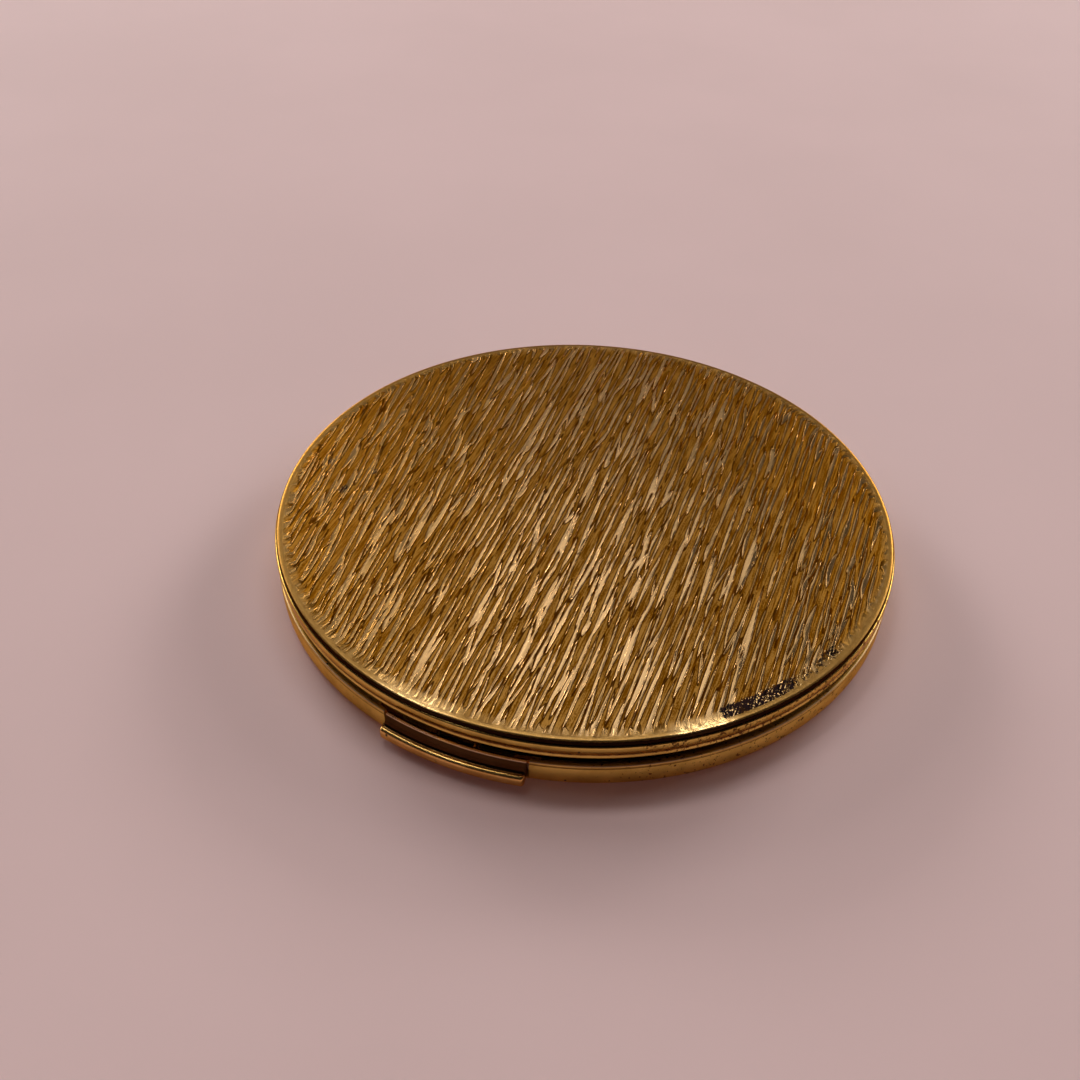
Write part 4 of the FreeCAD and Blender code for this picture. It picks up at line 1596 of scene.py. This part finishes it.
@dataclass
class Hinge:
    """The hinge: two leaves rolled round one pin, five knuckles in turn."""

    pin: float = 0.5
    clearance: float = 0.03
    sheet: float = 0.5
    knuckles: int = 5
    knuckle_steps: int = 48
    gap: float = 0.1
    edge: float = 0.07
    bore_edge: float = 0.03
    pin_edge: float = 0.12
    heel: float = 0.45
    lap: float = 0.3
    foot: float = 1.5
    tuck: float = 0.02

    def build(self) -> None:
        """Builds both leaves and dresses the pin."""
        self.lower_leaf()
        self.upper_leaf()
        dress("hinge_pin", Steel(), self.pin_edge)

    def axis(self) -> Pair:
        """Where the pin lies, across the part and up."""
        low, high = limits("hinge_pin")
        return (low.y + high.y) / 2, (low.z + high.z) / 2

    def bore(self) -> float:
        """Radius of the hole in the knuckles."""
        return self.pin + self.clearance

    def spans(self, first: int) -> list[Pair]:
        """Finds every second knuckle.

        Args:
            first: Number of the first one.

        Returns:
            Where each begins and ends along the pin.
        """
        half = limits("base_hinge_leaf")[1].x
        pitch = 2 * half / self.knuckles
        return [(index * pitch - half + self.gap / 2, (index + 1) * pitch - half - self.gap / 2)
                for index in range(first, self.knuckles, 2)]

    def knuckle(self, span: Pair) -> Shape:
        """Builds one rolled knuckle with broken edges and an open bore.

        Args:
            span: Where it begins and ends along the pin.

        Returns:
            The closed knuckle.
        """
        across, up = self.axis()
        bore, barrel = self.bore(), self.bore() + self.sheet
        outline = rounded([
            (bore, span[0], self.bore_edge), (barrel, span[0], self.edge),
            (barrel, span[1], self.edge), (bore, span[1], self.bore_edge)], 3)
        shape = turned(outline, self.knuckle_steps)
        x, y, z = shape.points.T
        shape.points = np.stack([z, across + x, up + y], 1)
        return shape

    def plate(self, low: Corner, high: Corner) -> Shape:
        """A flat of a leaf."""
        return eased_block(low, high, self.edge)

    def lower_leaf(self) -> bpy.types.Object:
        """Builds the leaf on the floor of the base.

        Returns:
            The dressed leaf.
        """
        low, _ = limits("base_hinge_leaf")
        across, up = self.axis()
        outer, half = across - self.bore(), -low.x
        inner = outer - self.sheet
        shapes = [self.knuckle(span) for span in self.spans(0)]
        for start, end in self.spans(0):
            shapes.append(self.plate((start, inner + self.tuck, low.z + self.edge),
                                     (end, outer - self.tuck, up + self.lap)))
        clear = up - self.bore() - self.sheet - self.gap
        shapes.append(self.plate((-half, inner, low.z + self.tuck), (half, outer, clear)))
        shapes.append(self.plate((-half, outer - self.foot, low.z),
                                 (half, outer - self.clearance, low.z + self.sheet)))
        return Piece("lower_leaf", Body.BASE, InnerGold(), "gold_inner", ("base_hinge_leaf",)).make(*shapes)

    def upper_leaf(self) -> bpy.types.Object:
        """Builds the leaf in the lid's rim, with the heels that stop the open lid.

        Returns:
            The dressed leaf.
        """
        low, high = limits("lid_hinge_leaf")
        across, up = self.axis()
        outer = across - self.bore()
        inner = outer - self.sheet
        shapes = [self.knuckle(span) for span in self.spans(1)]
        for start, end in self.spans(1):
            shapes.append(self.plate((start, inner + self.tuck, up - self.lap),
                                     (end, outer - self.tuck, high.z - self.edge)))
        clear = up + self.bore() + self.sheet + self.gap
        shapes.append(self.plate((low.x, inner, clear), (high.x, outer, high.z)))
        for start, end in self.spans(1):
            shapes.append(self.plate((start, across + self.bore(), up), (end, high.y, up + self.heel)))
        return Piece("upper_leaf", Body.LID, InnerGold(), "gold_inner", ("lid_hinge_leaf",)).make(*shapes)


def dress(node: str, finish: Finish, edge: float = 0.0) -> bpy.types.Object:
    """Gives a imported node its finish.

    Args:
        node: Name of the node.
        finish: The finish that it takes.
        edge: Width of its broken edges in millimetres, or 0 for none.

    Returns:
        The node's object.
    """
    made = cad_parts[node]
    made.data.materials.clear()
    made.data.materials.append(finish.material())
    if edge:
        bevel = made.modifiers.new("edges", "BEVEL")
        bevel.width = edge * MM
        bevel.segments = 2
        bevel.limit_method = "ANGLE"
    LOG.info("%s: packed node dressed in %s", node, finish.name)
    return made


@dataclass(frozen=True)
class SoftPanel:
    """A soft light panel that faces the part, placed by degrees round from straight behind and degrees up."""

    name: str
    round_from_behind: float
    elevation: float
    distance: float
    size: Pair
    level: float

    def hang(self, turn: Matrix) -> None:
        """Hangs the panel in the scene.

        Args:
            turn: The turn from the camera's side to the part's own axes.
        """
        lamp = bpy.data.lights.new(self.name, "AREA")
        lamp.shape = "RECTANGLE"
        lamp.size, lamp.size_y = self.size
        lamp.energy = self.level * math.pi * self.size[0] * self.size[1]
        swing, rise = math.radians(self.round_from_behind), math.radians(self.elevation)
        away = Vector((math.sin(swing) * math.cos(rise), math.cos(swing) * math.cos(rise), math.sin(rise)))
        hung = bpy.data.objects.new(self.name, lamp)
        facing = (-away).to_track_quat("-Z", "Y").to_matrix().to_4x4()
        hung.matrix_world = turn @ Matrix.Translation(away * self.distance) @ facing
        bpy.context.scene.collection.objects.link(hung)


@dataclass
class Studio:
    """Plain pale floor, soft canopy of light above and behind, and the camera."""

    elevation: float = math.radians(39.2)
    azimuth: float = math.radians(18.85)
    distance: float = 133.8
    aim_height: float = 6.0
    pan: float = math.radians(-2.22)
    tilt: float = math.radians(-1.90)
    roll: float = math.radians(-2.98)
    lens: float = 36.0
    sensor: float = 36.0
    clip: Pair = (0.005, 20.0)
    sweep: tuple[Pair, ...] = (
        (2.0, 0.0), (2.9, 0.0), (3.1, 0.02), (3.3, 0.1), (3.4, 0.25), (3.45, 0.5), (3.45, 1.3))
    sweep_steps: int = 72
    front_rise: float = 0.6
    room: Colour = (0.014, 0.012, 0.012)
    panels: tuple[SoftPanel, ...] = (
        SoftPanel("key", -6, 65.5, 2.4, (2.0, 0.38), 5.4),
        SoftPanel("over", -47, 74, 2.4, (0.9, 0.16), 6.0),
        SoftPanel("slope", -1, 46, 2.8, (1.0, 0.68), 0.92),
        SoftPanel("slope_left", -20, 46, 2.8, (0.9, 0.68), 0.42),
        SoftPanel("back", -10, 32, 3.2, (2.4, 0.84), 0.18),
        SoftPanel("low_left", -34, 17, 3.0, (1.1, 0.5), 15.0),
        SoftPanel("low_right", 35, 17, 3.0, (1.1, 0.5), 15.0),
        SoftPanel("left", -50, 23, 2.4, (1.4, 0.8), 3.7),
        SoftPanel("right", 52, 23, 2.4, (1.4, 0.8), 4.1),
    )

    def build(self) -> None:
        """Sets the floor, the light and the camera."""
        self.floor()
        self.lights()
        self.camera()
        bpy.context.scene.view_settings.view_transform = "Standard"

    def floor(self) -> None:
        """Lays the floor under the base, swept up into a low backdrop all round."""
        mesh = bpy.data.meshes.new("floor")
        turns = np.linspace(0, 2 * math.pi, self.sweep_steps, endpoint=False)
        rings = [swung(radius, height, turns) for radius, height in self.sweep]
        rings[-1][:, 2] += self.front_rise * (1 - np.sin(turns))
        walls = sheets(rings, np.zeros((1, 2)), loop=True)
        faces = [list(range(self.sweep_steps))] + [face[::-1] for face in walls.faces]
        mesh.from_pydata(walls.points.tolist(), [], faces)
        mesh.shade_smooth()
        mesh.materials.append(Ground().material())
        laid = bpy.data.objects.new("floor", mesh)
        bpy.context.scene.collection.objects.link(laid)

    def turn(self) -> Matrix:
        """The turn from the camera's side to the part's own axes."""
        return Matrix.Rotation(self.azimuth, 4, "Z")

    def lights(self) -> None:
        """Hangs the soft panels in a dim room."""
        for panel in self.panels:
            panel.hang(self.turn())
        world = bpy.data.worlds.new("room")
        world.use_nodes = True
        world.node_tree.nodes["Background"].inputs["Color"].default_value = (*self.room, 1)
        bpy.context.scene.world = world

    def camera(self) -> None:
        """Sets the camera by its angles about the middle of the lid."""
        right = Vector((1, 0, 0))
        up = Vector((0, math.sin(self.elevation), math.cos(self.elevation)))
        ahead = Vector((0, math.cos(self.elevation), -math.sin(self.elevation)))
        panned = math.sin(self.pan) * right + math.cos(self.pan) * ahead
        side = math.cos(self.pan) * right - math.sin(self.pan) * ahead
        view = math.sin(self.tilt) * up + math.cos(self.tilt) * panned
        top = math.cos(self.tilt) * up - math.sin(self.tilt) * panned
        axes = [math.cos(self.roll) * side - math.sin(self.roll) * top,
                math.sin(self.roll) * side + math.cos(self.roll) * top, -view]
        place = Vector((0, 0, self.aim_height * MM)) - ahead * self.distance * MM
        matrix = Matrix.Translation(place) @ Matrix(axes).transposed().to_4x4()
        lens = bpy.data.cameras.new("camera")
        lens.lens = self.lens
        lens.sensor_width = self.sensor
        lens.clip_start, lens.clip_end = self.clip
        held = bpy.data.objects.new("camera", lens)
        held.matrix_world = self.turn() @ matrix
        bpy.context.scene.collection.objects.link(held)
        bpy.context.scene.camera = held


def main() -> None:
    """Builds the compact piece by piece in its studio."""
    logging.basicConfig(level=logging.INFO, format="%(message)s")
    Studio().build()
    for part in (Base(), Puff(), Catch(), Hinge(), Lid()):
        part.build()
        LOG.info("%s built", type(part).__name__)
    dress("lid_hook", InnerGold(), HOOK_EDGE)
    dress("mirror_pad", Card())


if __name__ == "__main__":
    main()
